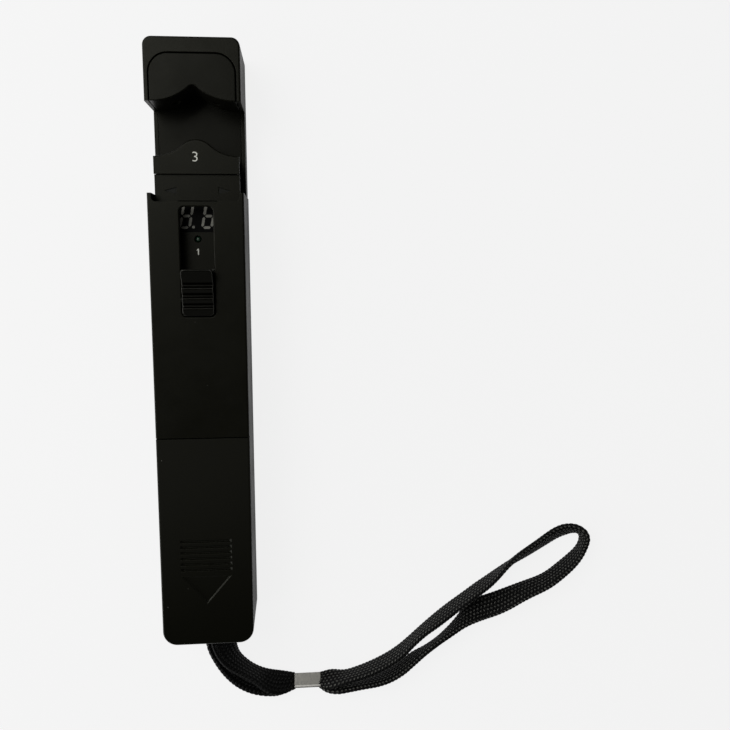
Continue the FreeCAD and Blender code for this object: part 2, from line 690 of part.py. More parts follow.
def return_spring(side):
    """Close-wound extension spring between the shell's post and the carriage's lug."""
    wire, radius = 0.9, 2.2
    y0 = boss_y + post_length
    y1 = carriage_low - 0.9
    coils = int((y1 - y0 - 2.4) / wire + 0.01)
    start = (y0 + y1 - wire * coils) / 2
    profile = [V(radius - wire, start, 0)]
    for i in range(coils):
        profile.append(V(radius - 0.3, start + i * wire, 0))
        profile.append(V(radius, start + (i + 0.5) * wire, 0))
    profile.append(V(radius - 0.3, start + coils * wire, 0))
    profile.append(V(radius - wire, start + coils * wire, 0))
    profile.append(profile[0])
    coil = Part.Face(Part.makePolygon(profile)).revolve(V(0, 0, 0), V(0, 1, 0), 360)
    low = block(-radius + 0.3, radius - 0.3, y0, start + 0.5, -0.4, 0.4)
    high = block(-radius + 0.3, radius - 0.3, start + coils * wire - 0.5, y1, -0.4, 0.4)
    spring = fused([coil, low, high])
    spring.translate(V(side * boss_x, 0, 14.0))
    return spring


def battery():
    """Nine-volt block with its two snap terminals."""
    x, z0 = battery_half, battery_z
    y1 = battery_top
    points = [(-x, 0, z0), (x, 0, z0), (x, 0, z0 + battery_height), (-x, 0, z0 + battery_height)]
    wire = filleted(points, [2.0, 2.0, 2.0, 2.0], True)
    face = Part.Face(wire)
    face.translate(V(0, battery_low, 0))
    body = face.extrude(V(0, y1 - battery_low, 0))
    stud = rod(2.8, (-stud_x, y1 - 0.5, battery_mid), (0, 1, 0), stud_height + 0.5)
    socket = rod(3.7, (stud_x, y1 - 0.5, battery_mid), (0, 1, 0), stud_height + 0.5)
    return fused([body, stud, socket])


def battery_snap():
    """Snap connector over the battery's terminals."""
    x, y1, mid = battery_half - 1.75, battery_top, battery_mid
    snap = block(-x, x, y1 + 0.4, snap_y, mid - 6.0, mid + 6.0)
    snap = snap.cut(rod(2.9, (-stud_x, y1 - 1, mid), (0, 1, 0), stud_height + 1.2))
    return snap.cut(rod(3.8, (stud_x, y1 - 1, mid), (0, 1, 0), stud_height + 1.2))


def battery_pad():
    """Foam pad under the battery's foot."""
    x = battery_half - 2.25
    return block(-x, x, battery_low - pad_thickness, battery_low, 3.0, 9.0)


def route(points):
    """Path of straight runs with tangent arcs as wide as the runs allow, and the smallest radius."""
    radii = [0.0]
    for a, b, c in zip(points[:-2], points[1:-1], points[2:]):
        u = V(*a) - V(*b)
        v = V(*c) - V(*b)
        half_turn = (math.pi - u.getAngle(v)) / 2
        radii.append(0.45 * min(u.Length, v.Length) / math.tan(half_turn))
    radii.append(0.0)
    return filleted(points, radii, False), min(radii[1:-1])


def round_cord(name, points, radius):
    """Round lead along a path."""
    path, bend = route(points)
    start = V(*points[0])
    ring = Part.Wire(Part.makeCircle(radius, start, V(*points[1]) - start))
    cord = path.makePipeShell([ring], True, True)
    print(name, "length", round(path.Length, 1), "smallest radius", round(bend, 1))
    return cord


def flat_cord(name, points):
    """Flat strap lying on its wide side along a path."""
    path, bend = route(points)
    start = V(*points[0])
    along = (V(*points[1]) - start).normalize()
    across = V(0, 0, 1).cross(along).normalize() * (strap_width / 2)
    up = V(0, 0, strap_thickness / 2)
    corners = [start - across - up, start + across - up, start + across + up, start - across + up]
    section = filleted([tuple(c) for c in corners], [strap_thickness * 0.4] * 4, True)
    sweep = Part.BRepOffsetAPI.MakePipeShell(path)
    sweep.setBiNormalMode(V(0, 0, 1))
    sweep.add(section)
    sweep.build()
    sweep.makeSolid()
    strap = sweep.shape()
    expected = Part.Face(section).Area * path.Length
    print(name, "length", round(path.Length, 1), "smallest radius", round(bend, 1),
          "volume / expected", round(strap.Volume / expected, 3))
    return strap


ferrule_x = 28.2
ferrule_y = tail_y - 27.5
low_z = 1.1
high_z = 3.3
ring_mid = pin_radius + 0.05 + strap_thickness / 2

anchor_lower_points = [
    (0.0, pin_y, pin_z - ring_mid), (0.0, pin_y - 8.0, pin_z - ring_mid), (2.2, tail_y - 10.2, 2.2),
    (7.0, tail_y - 17.9, 1.3), (13.0, tail_y - 23.6, low_z), (19.0, tail_y - 27.2, low_z),
    (23.8, tail_y - 28.0, low_z), (ferrule_x, tail_y - 28.0, low_z)]
anchor_upper_points = [
    (0.0, pin_y, pin_z + ring_mid), (0.0, pin_y - 8.0, pin_z + ring_mid), (2.8, tail_y - 9.6, 6.2),
    (8.0, tail_y - 17.1, 4.0), (13.8, tail_y - 22.6, 3.4), (19.4, tail_y - 26.0, high_z),
    (24.0, tail_y - 27.0, high_z), (ferrule_x, tail_y - 27.0, high_z)]
loop_x = ferrule_x + ferrule_length
loop_route = [
    (loop_x, -27.0, high_z), (46.0, -27.0, 3.4), (56.5, -25.2, 3.4), (68.0, -19.3, 3.4),
    (79.3, -11.0, 3.4), (90.7, -1.6, 3.4), (102.1, 6.6, 3.4), (113.4, 15.8, 3.2), (123.5, 23.0, 2.4),
    (130.4, 27.1, 1.6), (135.6, 26.4, 1.2), (138.8, 22.3, low_z), (138.1, 17.1, low_z),
    (133.7, 13.0, low_z), (126.8, 8.6, low_z), (117.5, 4.6, low_z), (106.0, -0.2, low_z),
    (94.6, -5.7, low_z), (85.1, -12.4, low_z), (75.6, -20.2, low_z), (64.8, -27.4, low_z),
    (54.5, -31.3, low_z), (48.2, -30.6, low_z), (43.2, -28.0, low_z), (loop_x, -28.0, low_z)]
loop_points = [(x, tail_y + y, z) for x, y, z in loop_route]
lead_red_points = [
    (2.2, snap_y, 11.0), (2.2, snap_y + 5.5, 11.0), (3.2, partition_y - 0.5, 10.2),
    (lead_x, partition_y + 4.4, 8.8), (lead_x + 0.2, board_low - 3.0, 6.3), (lead_x + 0.5, board_low + 1.4, 5.6)]
lead_black_points = [(-x, y, z) for x, y, z in lead_red_points]


def strap_ring():
    """Half turn of the strap round its pin."""
    x = strap_width / 2
    inside = pin_radius + 0.05
    points = [(-x, pin_y, pin_z + inside), (x, pin_y, pin_z + inside),
              (x, pin_y, pin_z + inside + strap_thickness), (-x, pin_y, pin_z + inside + strap_thickness)]
    section = filleted(points, [strap_thickness * 0.4] * 4, True)
    return Part.Face(section).revolve(V(0, pin_y, pin_z), V(1, 0, 0), -180)


def strap_ferrule():
    """Crimped sleeve that holds both strands."""
    y, z = ferrule_width / 2, ferrule_height
    points = [(ferrule_x, ferrule_y - y, 0), (ferrule_x, ferrule_y + y, 0),
              (ferrule_x, ferrule_y + y, z), (ferrule_x, ferrule_y - y, z)]
    section = filleted(points, [1.4] * 4, True)
    sleeve = Part.Face(section).extrude(V(ferrule_length, 0, 0))
    return sleeve


def strap_pin():
    """Round pin across the tail recess."""
    return rod(pin_radius, (-6.3, pin_y, pin_z), (1, 0, 0), 12.6)


def case_screws():
    """Four cross-head screws from the back."""
    screws = []
    for x, y in screw_positions():
        head = rod(screw_radius + 1.5, (x, y, 1.2), (0, 0, 1), 2.0)
        cross = block(x - 1.6, x + 1.6, y - 0.3, y + 0.3, 0, 2.2)
        cross = cross.fuse(block(x - 0.3, x + 0.3, y - 1.6, y + 1.6, 0, 2.2))
        screws.append(fused([head.cut(cross), rod(screw_radius, (x, y, 3.0), (0, 0, 1), 13.5)]))
    return Part.makeCompound(screws)


nodes = {
    "rear_shell": rear_shell(),
    "front_shell": front_shell(),
    "battery_door": battery_door(),
    "jaw_insert": jaw_insert(),
    "photodiode_left": photodiode(-1),
    "photodiode_right": photodiode(1),
    "detector_flex": detector_flex(),
    "slide_bed": slide_bed(),
    "main_board": main_board(),
    "board_chips": board_chips(),
    "flex_connectors": flex_connectors(),
    "board_screws": board_screws(),
    "power_contact": power_contact(),
    "carriage_frame": carriage_frame(),
    "indicator_panel": indicator_panel(),
    "arrow_lens_left": arrow_lens(-1),
    "arrow_lens_right": arrow_lens(1),
    "display_board": display_board(),
    "display_module": display_module(),
    "tone_led": tone_led(),
    "arrow_led_left": arrow_led(-1),
    "arrow_led_right": arrow_led(1),
    "ribbon_socket": ribbon_socket(),
    "display_ribbon": display_ribbon(),
    "thumb_slider": thumb_slider(),
    "slider_screws": slider_screws(),
    "adapter_head": adapter_head(),
    "return_spring_left": return_spring(-1),
    "return_spring_right": return_spring(1),
    "battery": battery(),
    "battery_snap": battery_snap(),
    "battery_pad": battery_pad(),
    "lead_red": round_cord("lead_red", lead_red_points, 0.65),
    "lead_black": round_cord("lead_black", lead_black_points, 0.65),
    "case_screws": case_screws(),
    "strap_pin": strap_pin(),
    "strap_anchor_lower": fused([flat_cord("strap_anchor_lower", anchor_lower_points), strap_ring()]),
    "strap_anchor_upper": flat_cord("strap_anchor_upper", anchor_upper_points),
    "strap_loop": flat_cord("strap_loop", loop_points),
    "strap_ferrule": strap_ferrule(),
}

os.makedirs("parts", exist_ok=True)
for name, shape in nodes.items():
    shape.exportStep("parts/" + name + ".step")
    print(name, "solids", len(shape.Solids), "valid", shape.isValid(), "volume", round(shape.Volume, 1))
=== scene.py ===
import json
import math

import bmesh
import bpy
import numpy as np
from mathutils import Matrix, Vector


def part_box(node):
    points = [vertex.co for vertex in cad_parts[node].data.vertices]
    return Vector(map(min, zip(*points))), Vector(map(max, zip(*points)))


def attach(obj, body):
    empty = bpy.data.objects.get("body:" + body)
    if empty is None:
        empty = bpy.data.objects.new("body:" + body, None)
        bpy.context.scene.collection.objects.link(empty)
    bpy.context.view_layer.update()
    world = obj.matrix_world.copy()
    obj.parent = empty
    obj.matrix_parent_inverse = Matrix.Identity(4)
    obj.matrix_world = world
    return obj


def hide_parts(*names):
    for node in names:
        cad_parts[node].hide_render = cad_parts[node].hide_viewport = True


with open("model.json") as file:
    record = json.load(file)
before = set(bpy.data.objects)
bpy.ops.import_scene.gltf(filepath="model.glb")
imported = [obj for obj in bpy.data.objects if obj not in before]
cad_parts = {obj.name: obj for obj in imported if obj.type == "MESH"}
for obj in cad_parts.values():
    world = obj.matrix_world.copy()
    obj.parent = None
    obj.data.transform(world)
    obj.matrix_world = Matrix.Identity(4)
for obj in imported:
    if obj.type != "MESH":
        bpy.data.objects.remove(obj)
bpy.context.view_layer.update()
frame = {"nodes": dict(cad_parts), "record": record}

bl_info = {
    "name": "Fibre Identifier",
    "version": (1, 0, 0),
    "blender": (4, 5, 0),
    "location": "View3D > Sidebar > Fibre Identifier",
    "description": "Dresses the packed frame of a handheld fibre identifier with finishes and soft pieces",
    "category": "Object",
}

MM = 0.001
NODES = frame["nodes"]
SLOT_OF_NODE = {part["node"]: part["material_slot"] for part in frame["record"]["subparts"]}

# The camera of the photograph. Its place is in millimetres, and its focal length in pixels of the frame.
CAMERA_PLACE = (30.74, 28.50, 285.78)
CAMERA_RIGHT = (0.99624, -0.00416, 0.08652)
CAMERA_UP = (0.01490, 0.99219, -0.12388)
CAMERA_AHEAD = (0.08533, -0.12471, -0.98852)
SENSOR_WIDTH = 36.0
FOCAL_PIXELS, FRAME_PIXELS = 800.0, 730.0

# Routes of the wrist strap: the points of part.py, moved and added to where the photograph shows the flat
# braid on edge, turning flat, and pinched into the ferrule. Each row is x, y, z in millimetres, how far the
# face leans from level towards the left of its travel in degrees, and the share of the full width.
ANCHOR = (
    (28.4, -125.55, 2.82, -25, 0.46), (26.9, -125.5, 3.0, -25, 0.70), (24.6, -125.6, 3.5, -25, 0.93),
    (20.8, -125.0, 4.6, -38, 1.0), (17.6, -123.2, 5.6, -64, 1.0), (14.3, -120.7, 6.2, -77, 1.0),
    (11.3, -118.7, 6.3, -77, 1.0), (8.5, -116.4, 6.5, -73, 1.0), (6.3, -114.0, 7.1, -61, 1.0),
    (4.5, -110.6, 8.1, -45, 1.0), (3.4, -107.1, 8.8, -27, 1.0), (2.7, -103.7, 8.9, -18, 0.98),
    (0.8, -98.0, 8.6, -6, 0.72), (0.0, -91.5, 8.35, 0, 0.66), (0.0, -88.95, 8.35, 0, 0.66),
    (0.0, -88.95, 3.25, 0, 0.66), (0.0, -91.5, 3.25, 0, 0.66), (0.3, -98.5, 3.4, 4, 0.70),
    (0.5, -105.4, 4.4, 17, 0.98), (1.1, -108.9, 5.0, 30, 1.0), (2.1, -111.9, 5.2, 48, 1.0),
    (3.6, -115.8, 5.0, 60, 1.0), (6.0, -119.8, 4.8, 69, 1.0), (9.2, -122.9, 4.8, 73, 1.0),
    (12.9, -125.2, 4.8, 80, 1.0), (16.7, -125.9, 4.6, 72, 1.0), (20.4, -125.9, 3.6, 44, 1.0),
    (24.4, -126.1, 2.2, 25, 0.93), (26.9, -126.0, 2.1, 25, 0.70), (28.4, -125.85, 2.18, 25, 0.46),
)
LOOP = (
    (37.6, -125.55, 2.82, 25, 0.46), (39.2, -125.3, 3.4, 35, 0.62), (42.0, -124.6, 4.5, 68, 0.88),
    (46.7, -124.2, 4.9, 90, 1.0), (52.4, -122.7, 4.9, 88, 1.0), (57.8, -120.7, 4.9, 87, 1.0),
    (63.0, -118.2, 4.9, 87, 1.0), (67.9, -115.0, 4.9, 88, 1.0), (71.9, -111.1, 4.9, 93, 1.0),
    (76.5, -106.9, 4.9, 93, 1.0), (81.0, -103.5, 4.9, 88, 1.0), (85.6, -99.9, 4.9, 87, 1.0),
    (89.6, -96.9, 4.9, 89, 1.0), (92.9, -94.6, 4.9, 89, 1.0), (96.7, -91.8, 4.9, 89, 1.0),
    (100.7, -89.0, 4.9, 91, 1.0), (104.1, -86.1, 5.0, 98, 1.0), (108.1, -82.6, 4.9, 110, 1.0),
    (111.9, -80.1, 4.7, 123, 1.0), (116.2, -77.5, 4.6, 127, 1.0), (120.2, -75.0, 4.5, 129, 1.0),
    (123.3, -73.0, 4.4, 132, 1.0), (126.3, -71.2, 4.3, 133, 1.0), (129.2, -70.1, 4.3, 133, 1.0),
    (132.5, -69.6, 4.6, 126, 1.0), (135.1, -70.3, 4.9, 112, 1.0), (136.7, -71.9, 4.9, 96, 1.0),
    (137.1, -73.7, 4.9, 86, 1.0), (136.6, -76.1, 4.9, 83, 1.0), (135.2, -78.8, 4.9, 87, 1.0),
    (132.5, -81.9, 4.9, 94, 1.0), (128.9, -85.1, 4.9, 97, 1.0), (124.8, -88.3, 5.0, 98, 1.0),
    (121.3, -90.3, 5.0, 101, 1.0), (116.6, -92.1, 5.0, 105, 1.0), (112.1, -94.0, 4.9, 111, 1.0),
    (107.6, -96.2, 4.7, 122, 1.0), (102.9, -98.1, 4.5, 130, 1.0), (97.7, -99.6, 4.4, 132, 1.0),
    (93.9, -101.5, 4.8, 113, 1.0), (91.0, -103.8, 4.9, 92, 1.0), (86.8, -107.6, 4.9, 82, 1.0),
    (82.1, -111.3, 5.0, 74, 1.0), (77.5, -114.6, 5.0, 76, 1.0), (72.7, -117.8, 4.9, 88, 1.0),
    (68.3, -121.5, 4.9, 91, 1.0), (64.0, -124.2, 4.9, 88, 1.0), (59.4, -126.0, 4.9, 84, 1.0),
    (54.3, -126.9, 5.0, 79, 1.0), (46.8, -128.1, 5.0, 79, 1.0), (42.6, -127.5, 4.3, 104, 0.88),
    (39.2, -126.4, 2.6, 140, 0.62), (37.6, -125.85, 2.18, 155, 0.46),
)


# Settings

def linear(hex_code):
    """Scene-linear RGBA of an sRGB hex code."""
    channels = [int(hex_code[i:i + 2], 16) / 255 for i in (1, 3, 5)]
    return tuple(c / 12.92 if c <= 0.04045 else ((c + 0.055) / 1.055) ** 2.4 for c in channels) + (1.0,)


def colour_property(name, description, hex_code):
    """A colour that a user can change, with a default from an sRGB hex code."""
    return bpy.props.FloatVectorProperty(
        name=name, description=description, subtype="COLOR", size=4, min=0.0, max=1.0,
        default=linear(hex_code))


def size_property(name, description, millimetres):
    """A length that a user can change, with a default in millimetres."""
    return bpy.props.FloatProperty(
        name=name, description=description, unit="LENGTH", min=0.0, precision=5, default=millimetres * MM)


def power_property(name, description, watts):
    """The power of a light that a user can change."""
    return bpy.props.FloatProperty(
        name=name, description=description, subtype="POWER", min=0.0, default=watts)


class CaseSettings(bpy.types.PropertyGroup):
    case_colour: colour_property("Case", "Colour of the textured shells, door and panel", "#060603")
    insert_colour: colour_property("Inserts", "Colour of the smooth inner mouldings", "#050503")
    slider_colour: colour_property("Slider", "Colour of the thumb slider's flats", "#020201")
    # The ridges' colour is a painted highlight: pale lines along the slider's rounded edges.
    ridge_highlight_colour: colour_property("Ridges", "Colour of the thumb slider's rubbed ridges", "#484844")
    wear_and_highlight_colour: colour_property("Worn arris", "Colour of edges polished by handling", "#171813")
    speck_colour: colour_property("Specks", "Colour of the dust that sits in the texture", "#6f6f68")
    grain: size_property("Grain", "Pitch of the spark-eroded texture", 0.42)
    edge: size_property("Edge radius", "Radius of the moulded arrises", 0.16)


class StrapSettings(bpy.types.PropertyGroup):
    width: size_property("Width", "Width of the flat braid", 9.2)
    thickness: size_property("Thickness", "Thickness of the flat braid", 2.1)
    crown_pitch: size_property("Crown pitch", "Distance between the crowns along a row of the braid", 1.4)
    crown_height: size_property("Crown height", "How far the crowns stand above the gaps", 0.2)
    rows: bpy.props.IntProperty(
        name="Rows", description="Rows of crowns round the whole braid", min=4, max=24, default=14)
    # Both crown colours are painted glints on black yarn: the anchor's is a shaded copy, the loop's a lit
    # copy.
    shaded_glint_colour: colour_property("Yarn", "Colour of the crowns near the case", "#242422")
    lit_glint_colour: colour_property("Rubbed yarn", "Colour of the loop's crowns, rubbed in use", "#5f5f5a")
    gap_colour: colour_property("Gaps", "Colour between the crowns", "#010101")


class DisplaySettings(bpy.types.PropertyGroup):
    digit_height: size_property("Digit height", "Height of a digit of the display", 8.2)
    digit_width: size_property("Digit width", "Width of a digit of the display", 3.8)
    stroke: size_property("Segment width", "Width of a segment", 0.85)
    slant: bpy.props.FloatProperty(
        name="Slant", description="Slant of the digits", subtype="ANGLE", default=math.radians(11.0))
    segment_colour: colour_property("Segments", "Colour of an unlit segment", "#6c6b64")
    numeral_colour: colour_property("Numerals", "Colour of the printed numerals", "#b6b6ac")


class StageSettings(bpy.types.PropertyGroup):
    floor_colour: colour_property("Floor", "Colour of the floor", "#f5f5f5")
    key_power: power_property("Key light", "Power of the large soft light", 3.0)
    strip_power: power_property("Strip light", "Power of the low light at the left of the tail", 5.6)
    fill_power: power_property("Fill light", "Power of the soft light near the tail", 0.2)


# Materials

def add_node(tree, kind, inputs=(), stops=(), **settings):
    """Adds a node, sets its properties and ramp stops, and sets or links its inputs."""
    node = tree.nodes.new(kind)
    for name, value in settings.items():
        setattr(node, name, value)
    for index, (position, colour) in enumerate(stops):
        elements = node.color_ramp.elements
        element = elements[index] if index < len(elements) else elements.new(position)
        element.position, element.color = position, colour
    for key, value in dict(inputs).items():
        if isinstance(value, bpy.types.NodeSocket):
            tree.links.new(value, node.inputs[key])
        else:
            node.inputs[key].default_value = value
    return node


def new_finish(name, **values):
    """A material with a Principled shader whose constant values are set on its own sockets."""
    material = bpy.data.materials.new(name)
    material.use_nodes = True
    tree = material.node_tree
    tree.nodes.clear()
    constants = {key.replace("_", " "): value for key, value in values.items()}
    shader = add_node(tree, "ShaderNodeBsdfPrincipled", constants)
    add_node(tree, "ShaderNodeOutputMaterial", {"Surface": shader.outputs["BSDF"]})
    place = add_node(tree, "ShaderNodeTexCoord").outputs["Object"]
    return material, tree, shader, place


def moulded_abs(name, settings, colour, wear_and_highlight_colour, edge, grain, depth, roughness, sheen, rubbed=None):
    # ABS moulded in a textured or polished tool: near black, matt to satin, with a fine broken sheen,
    # arrises that are a little rounded and paler, and a few specks of dust. The paler arrises are wear on the
    # case and a painted highlight on the slider.
    material, tree, shader, place = new_finish(
        name, IOR=1.52, Specular_IOR_Level=sheen, Specular_Tint=linear("#ffffee"))
    pits = add_node(tree, "ShaderNodeTexNoise", {
        "Vector": place, "Scale": 1 / grain, "Detail": 3.0, "Roughness": 0.6})
    rounded = add_node(tree, "ShaderNodeBevel", {"Radius": edge}, samples=8)
    bump = add_node(tree, "ShaderNodeBump", {
        "Height": pits.outputs["Fac"], "Distance": depth, "Strength": 1.0,
        "Normal": rounded.outputs["Normal"]})
    # An arris shows where the rounded normal leaves the face's own.
    geometry = add_node(tree, "ShaderNodeNewGeometry")
    facing = add_node(tree, "ShaderNodeVectorMath", {
        0: rounded.outputs["Normal"], 1: geometry.outputs["Normal"]}, operation="DOT_PRODUCT")
    # Mixes the arris colour in along every rounded edge: wear on the case, a painted highlight on the slider.
    wear_and_highlight = add_node(tree, "ShaderNodeMapRange", {
        "Value": facing.outputs["Value"], "From Min": 1.0, "From Max": 0.86, "To Min": 0.0, "To Max": 0.8})
    tone = add_node(tree, "ShaderNodeMix", {
        "Factor": wear_and_highlight.outputs["Result"], "A": colour, "B": wear_and_highlight_colour}, data_type="RGBA")
    # Dust specks of about 0.25 mm, one in a cell of 7 mm.
    cells = add_node(tree, "ShaderNodeTexVoronoi", {"Vector": place, "Scale": 1 / (7 * MM)})
    speck = add_node(tree, "ShaderNodeMapRange", {
        "Value": cells.outputs["Distance"], "From Min": 0.022, "From Max": 0.012,
        "To Min": 0.0, "To Max": 0.7})
    shade = add_node(tree, "ShaderNodeMix", {
        "Factor": speck.outputs["Result"], "A": tone.outputs["Result"], "B": settings.speck_colour},
        data_type="RGBA")
    if rubbed:
        # Hands have rubbed the texture off towards the tail: matt at the head end, and satin there.
        tail, head, smoothest = rubbed
        axes = add_node(tree, "ShaderNodeSeparateXYZ", {"Vector": place})
        satin = add_node(tree, "ShaderNodeMapRange", {
            "Value": axes.outputs["Y"], "From Min": tail, "From Max": head,
            "To Min": smoothest, "To Max": roughness})
    else:
        # The gloss drifts in clouds of about 11 mm.
        clouds = add_node(tree, "ShaderNodeTexNoise", {
            "Vector": place, "Scale": 1 / (11 * MM), "Detail": 5.0, "Roughness": 0.6})
        satin = add_node(tree, "ShaderNodeMapRange", {
            "Value": clouds.outputs["Fac"], "From Min": 0.3, "From Max": 0.7,
            "To Min": roughness - 0.05, "To Max": roughness + 0.05})
    tree.links.new(shade.outputs["Result"], shader.inputs["Base Color"])
    tree.links.new(satin.outputs["Result"], shader.inputs["Roughness"])
    tree.links.new(bump.outputs["Normal"], shader.inputs["Normal"])
    return material


def smoked_acrylic():
    # Smoked acrylic, moulded with an etched face: as dark and dull as the panel, with a faint ripple.
    material, tree, shader, place = new_finish(
        "Smoked acrylic, moulded", IOR=1.49, Roughness=0.4, Specular_IOR_Level=0.08)
    ripple = add_node(tree, "ShaderNodeTexNoise", {"Vector": place, "Scale": 1 / (1.6 * MM), "Detail": 2.0})
    tint = add_node(tree, "ShaderNodeValToRGB", {"Fac": ripple.outputs["Fac"]},
                    stops=((0.3, linear("#0b0c07")), (0.7, linear("#0f100b"))))
    bump = add_node(tree, "ShaderNodeBump", {"Height": ripple.outputs["Fac"], "Distance": 0.01 * MM})
    tree.links.new(tint.outputs["Color"], shader.inputs["Base Color"])
    tree.links.new(bump.outputs["Normal"], shader.inputs["Normal"])
    return material


def display_epoxy(name, dark, pale, roughness, sheen):
    # Epoxy cast in a reflector mask: an even satin face with a faint cloud from the diffusing filler.
    material, tree, shader, place = new_finish(name, IOR=1.55, Specular_IOR_Level=sheen)
    cloud = add_node(tree, "ShaderNodeTexNoise", {"Vector": place, "Scale": 1 / (0.8 * MM), "Detail": 3.0})
    tint = add_node(tree, "ShaderNodeValToRGB", {"Fac": cloud.outputs["Fac"]},
                    stops=((0.35, dark), (0.65, pale)))
    satin = add_node(tree, "ShaderNodeMapRange", {
        "Value": cloud.outputs["Fac"], "To Min": roughness - 0.06, "To Max": roughness + 0.06})
    tree.links.new(tint.outputs["Color"], shader.inputs["Base Color"])
    tree.links.new(satin.outputs["Result"], shader.inputs["Roughness"])
    return material


def lamp_epoxy():
    # Green-tinted epoxy cast over a chip: a dark green ring with the pale chip in its middle.
    material, tree, shader, place = new_finish(
        "Green epoxy, cast lamp", IOR=1.55, Roughness=0.35, Specular_IOR_Level=0.2)
    low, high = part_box("tone_led")
    axis = ((low[0] + high[0]) / 2, (low[1] + high[1]) / 2, 0.0)
    flat = add_node(tree, "ShaderNodeVectorMath", {0: place, 1: (1.0, 1.0, 0.0)}, operation="MULTIPLY")
    radius = add_node(tree, "ShaderNodeVectorMath", {
        0: flat.outputs["Vector"], 1: axis}, operation="DISTANCE")
    share = add_node(tree, "ShaderNodeMapRange", {
        "Value": radius.outputs["Value"], "From Max": 1.2 * MM})
    tint = add_node(tree, "ShaderNodeValToRGB", {"Fac": share.outputs["Result"]}, stops=(
        (0.0, linear("#434c44")), (0.26, linear("#303a32")),
        (0.42, linear("#0b2616")), (0.85, linear("#07180e"))))
    tree.links.new(tint.outputs["Color"], shader.inputs["Base Color"])
    return material


def solder_mask():
    # Glass-epoxy board under solder mask: glossy green, with the tracks showing as paler lines.
    material, tree, shader, place = new_finish("Glass-epoxy board, solder mask", IOR=1.5, Roughness=0.3)
    tracks = add_node(tree, "ShaderNodeTexBrick", {
        "Vector": place, "Scale": 1.0, "Mortar Size": 0.18 * MM, "Brick Width": 4.6 * MM,
        "Row Height": 1.3 * MM, "Color1": linear("#0b3a1b"), "Color2": linear("#0e4321"),
        "Mortar": linear("#1c6a35")})
    bump = add_node(tree, "ShaderNodeBump", {"Height": tracks.outputs["Fac"], "Distance": 0.03 * MM})
    tree.links.new(tracks.outputs["Color"], shader.inputs["Base Color"])
    tree.links.new(bump.outputs["Normal"], shader.inputs["Normal"])
    return material


def moulded_package(name, dark, pale, roughness):
    # Filled resin, nylon or vinyl, moulded or extruded: a dry, slightly mottled matt face.
    material, tree, shader, place = new_finish(name, IOR=1.5, Roughness=roughness)
    mottle = add_node(tree, "ShaderNodeTexNoise", {"Vector": place, "Scale": 1 / (0.5 * MM), "Detail": 4.0})
    tint = add_node(tree, "ShaderNodeValToRGB", {"Fac": mottle.outputs["Fac"]},
                    stops=((0.3, dark), (0.7, pale)))
    bump = add_node(tree, "ShaderNodeBump", {"Height": mottle.outputs["Fac"], "Distance": 0.02 * MM})
    tree.links.new(tint.outputs["Color"], shader.inputs["Base Color"])
    tree.links.new(bump.outputs["Normal"], shader.inputs["Normal"])
    return material


def laminated_film(name, film, conductor, pitch):
    # Film laminated over flat conductors: a glossy strip with fine lines along it.
    material, tree, shader, place = new_finish(name, IOR=1.6, Roughness=0.28)
    # A wave of scale one repeats each tau / 20.
    lines = add_node(tree, "ShaderNodeTexWave", {
        "Vector": place, "Scale": math.tau / (20 * pitch)}, bands_direction="X")
    tint = add_node(tree, "ShaderNodeValToRGB", {"Fac": lines.outputs["Fac"]},
                    stops=((0.45, film), (0.55, conductor)))
    bump = add_node(tree, "ShaderNodeBump", {"Height": lines.outputs["Fac"], "Distance": 0.02 * MM})
    tree.links.new(tint.outputs["Color"], shader.inputs["Base Color"])
    tree.links.new(bump.outputs["Normal"], shader.inputs["Normal"])
    return material


def drawn_metal(name, dark, pale, roughness, streak):
    # Plated, drawn or rolled metal: bright, with short streaks along Y and a soft uneven polish.
    material, tree, shader, place = new_finish(name, Metallic=1.0)
    drawn = add_node(tree, "ShaderNodeMapping", {"Vector": place, "Scale": (1.0, 0.12, 1.0)})
    streaks = add_node(tree, "ShaderNodeTexNoise", {
        "Vector": drawn.outputs["Vector"], "Scale": 1 / streak, "Detail": 4.0})
    tint = add_node(tree, "ShaderNodeValToRGB", {"Fac": streaks.outputs["Fac"]},
                    stops=((0.3, dark), (0.7, pale)))
    polish = add_node(tree, "ShaderNodeMapRange", {
        "Value": streaks.outputs["Fac"], "To Min": roughness - 0.08, "To Max": roughness + 0.08})
    tree.links.new(tint.outputs["Color"], shader.inputs["Base Color"])
    tree.links.new(polish.outputs["Result"], shader.inputs["Roughness"])
    return material


def lacquered_can():
    # Steel can under a lacquered sleeve: plain slate grey with a paler band at one end, and a bare rim.
    material, tree, shader, place = new_finish("Steel can, lacquered sleeve", IOR=1.5, Roughness=0.32)
    low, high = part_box("battery")
    along = add_node(tree, "ShaderNodeSeparateXYZ", {"Vector": place})
    share = add_node(tree, "ShaderNodeMapRange", {
        "Value": along.outputs["Y"], "From Min": low[1], "From Max": high[1]})
    bands = add_node(tree, "ShaderNodeValToRGB", {"Fac": share.outputs["Result"]}, stops=(
        (0.0, linear("#8d8d88")), (0.025, linear("#3a4149")),
        (0.84, linear("#3f464e")), (0.85, linear("#9fa3a6"))))
    scuff = add_node(tree, "ShaderNodeTexNoise", {"Vector": place, "Scale": 1 / (3 * MM), "Detail": 6.0})
    satin = add_node(tree, "ShaderNodeMapRange", {
        "Value": scuff.outputs["Fac"], "To Min": 0.22, "To Max": 0.46})
    tree.links.new(bands.outputs["Color"], shader.inputs["Base Color"])
    tree.links.new(satin.outputs["Result"], shader.inputs["Roughness"])
    return material


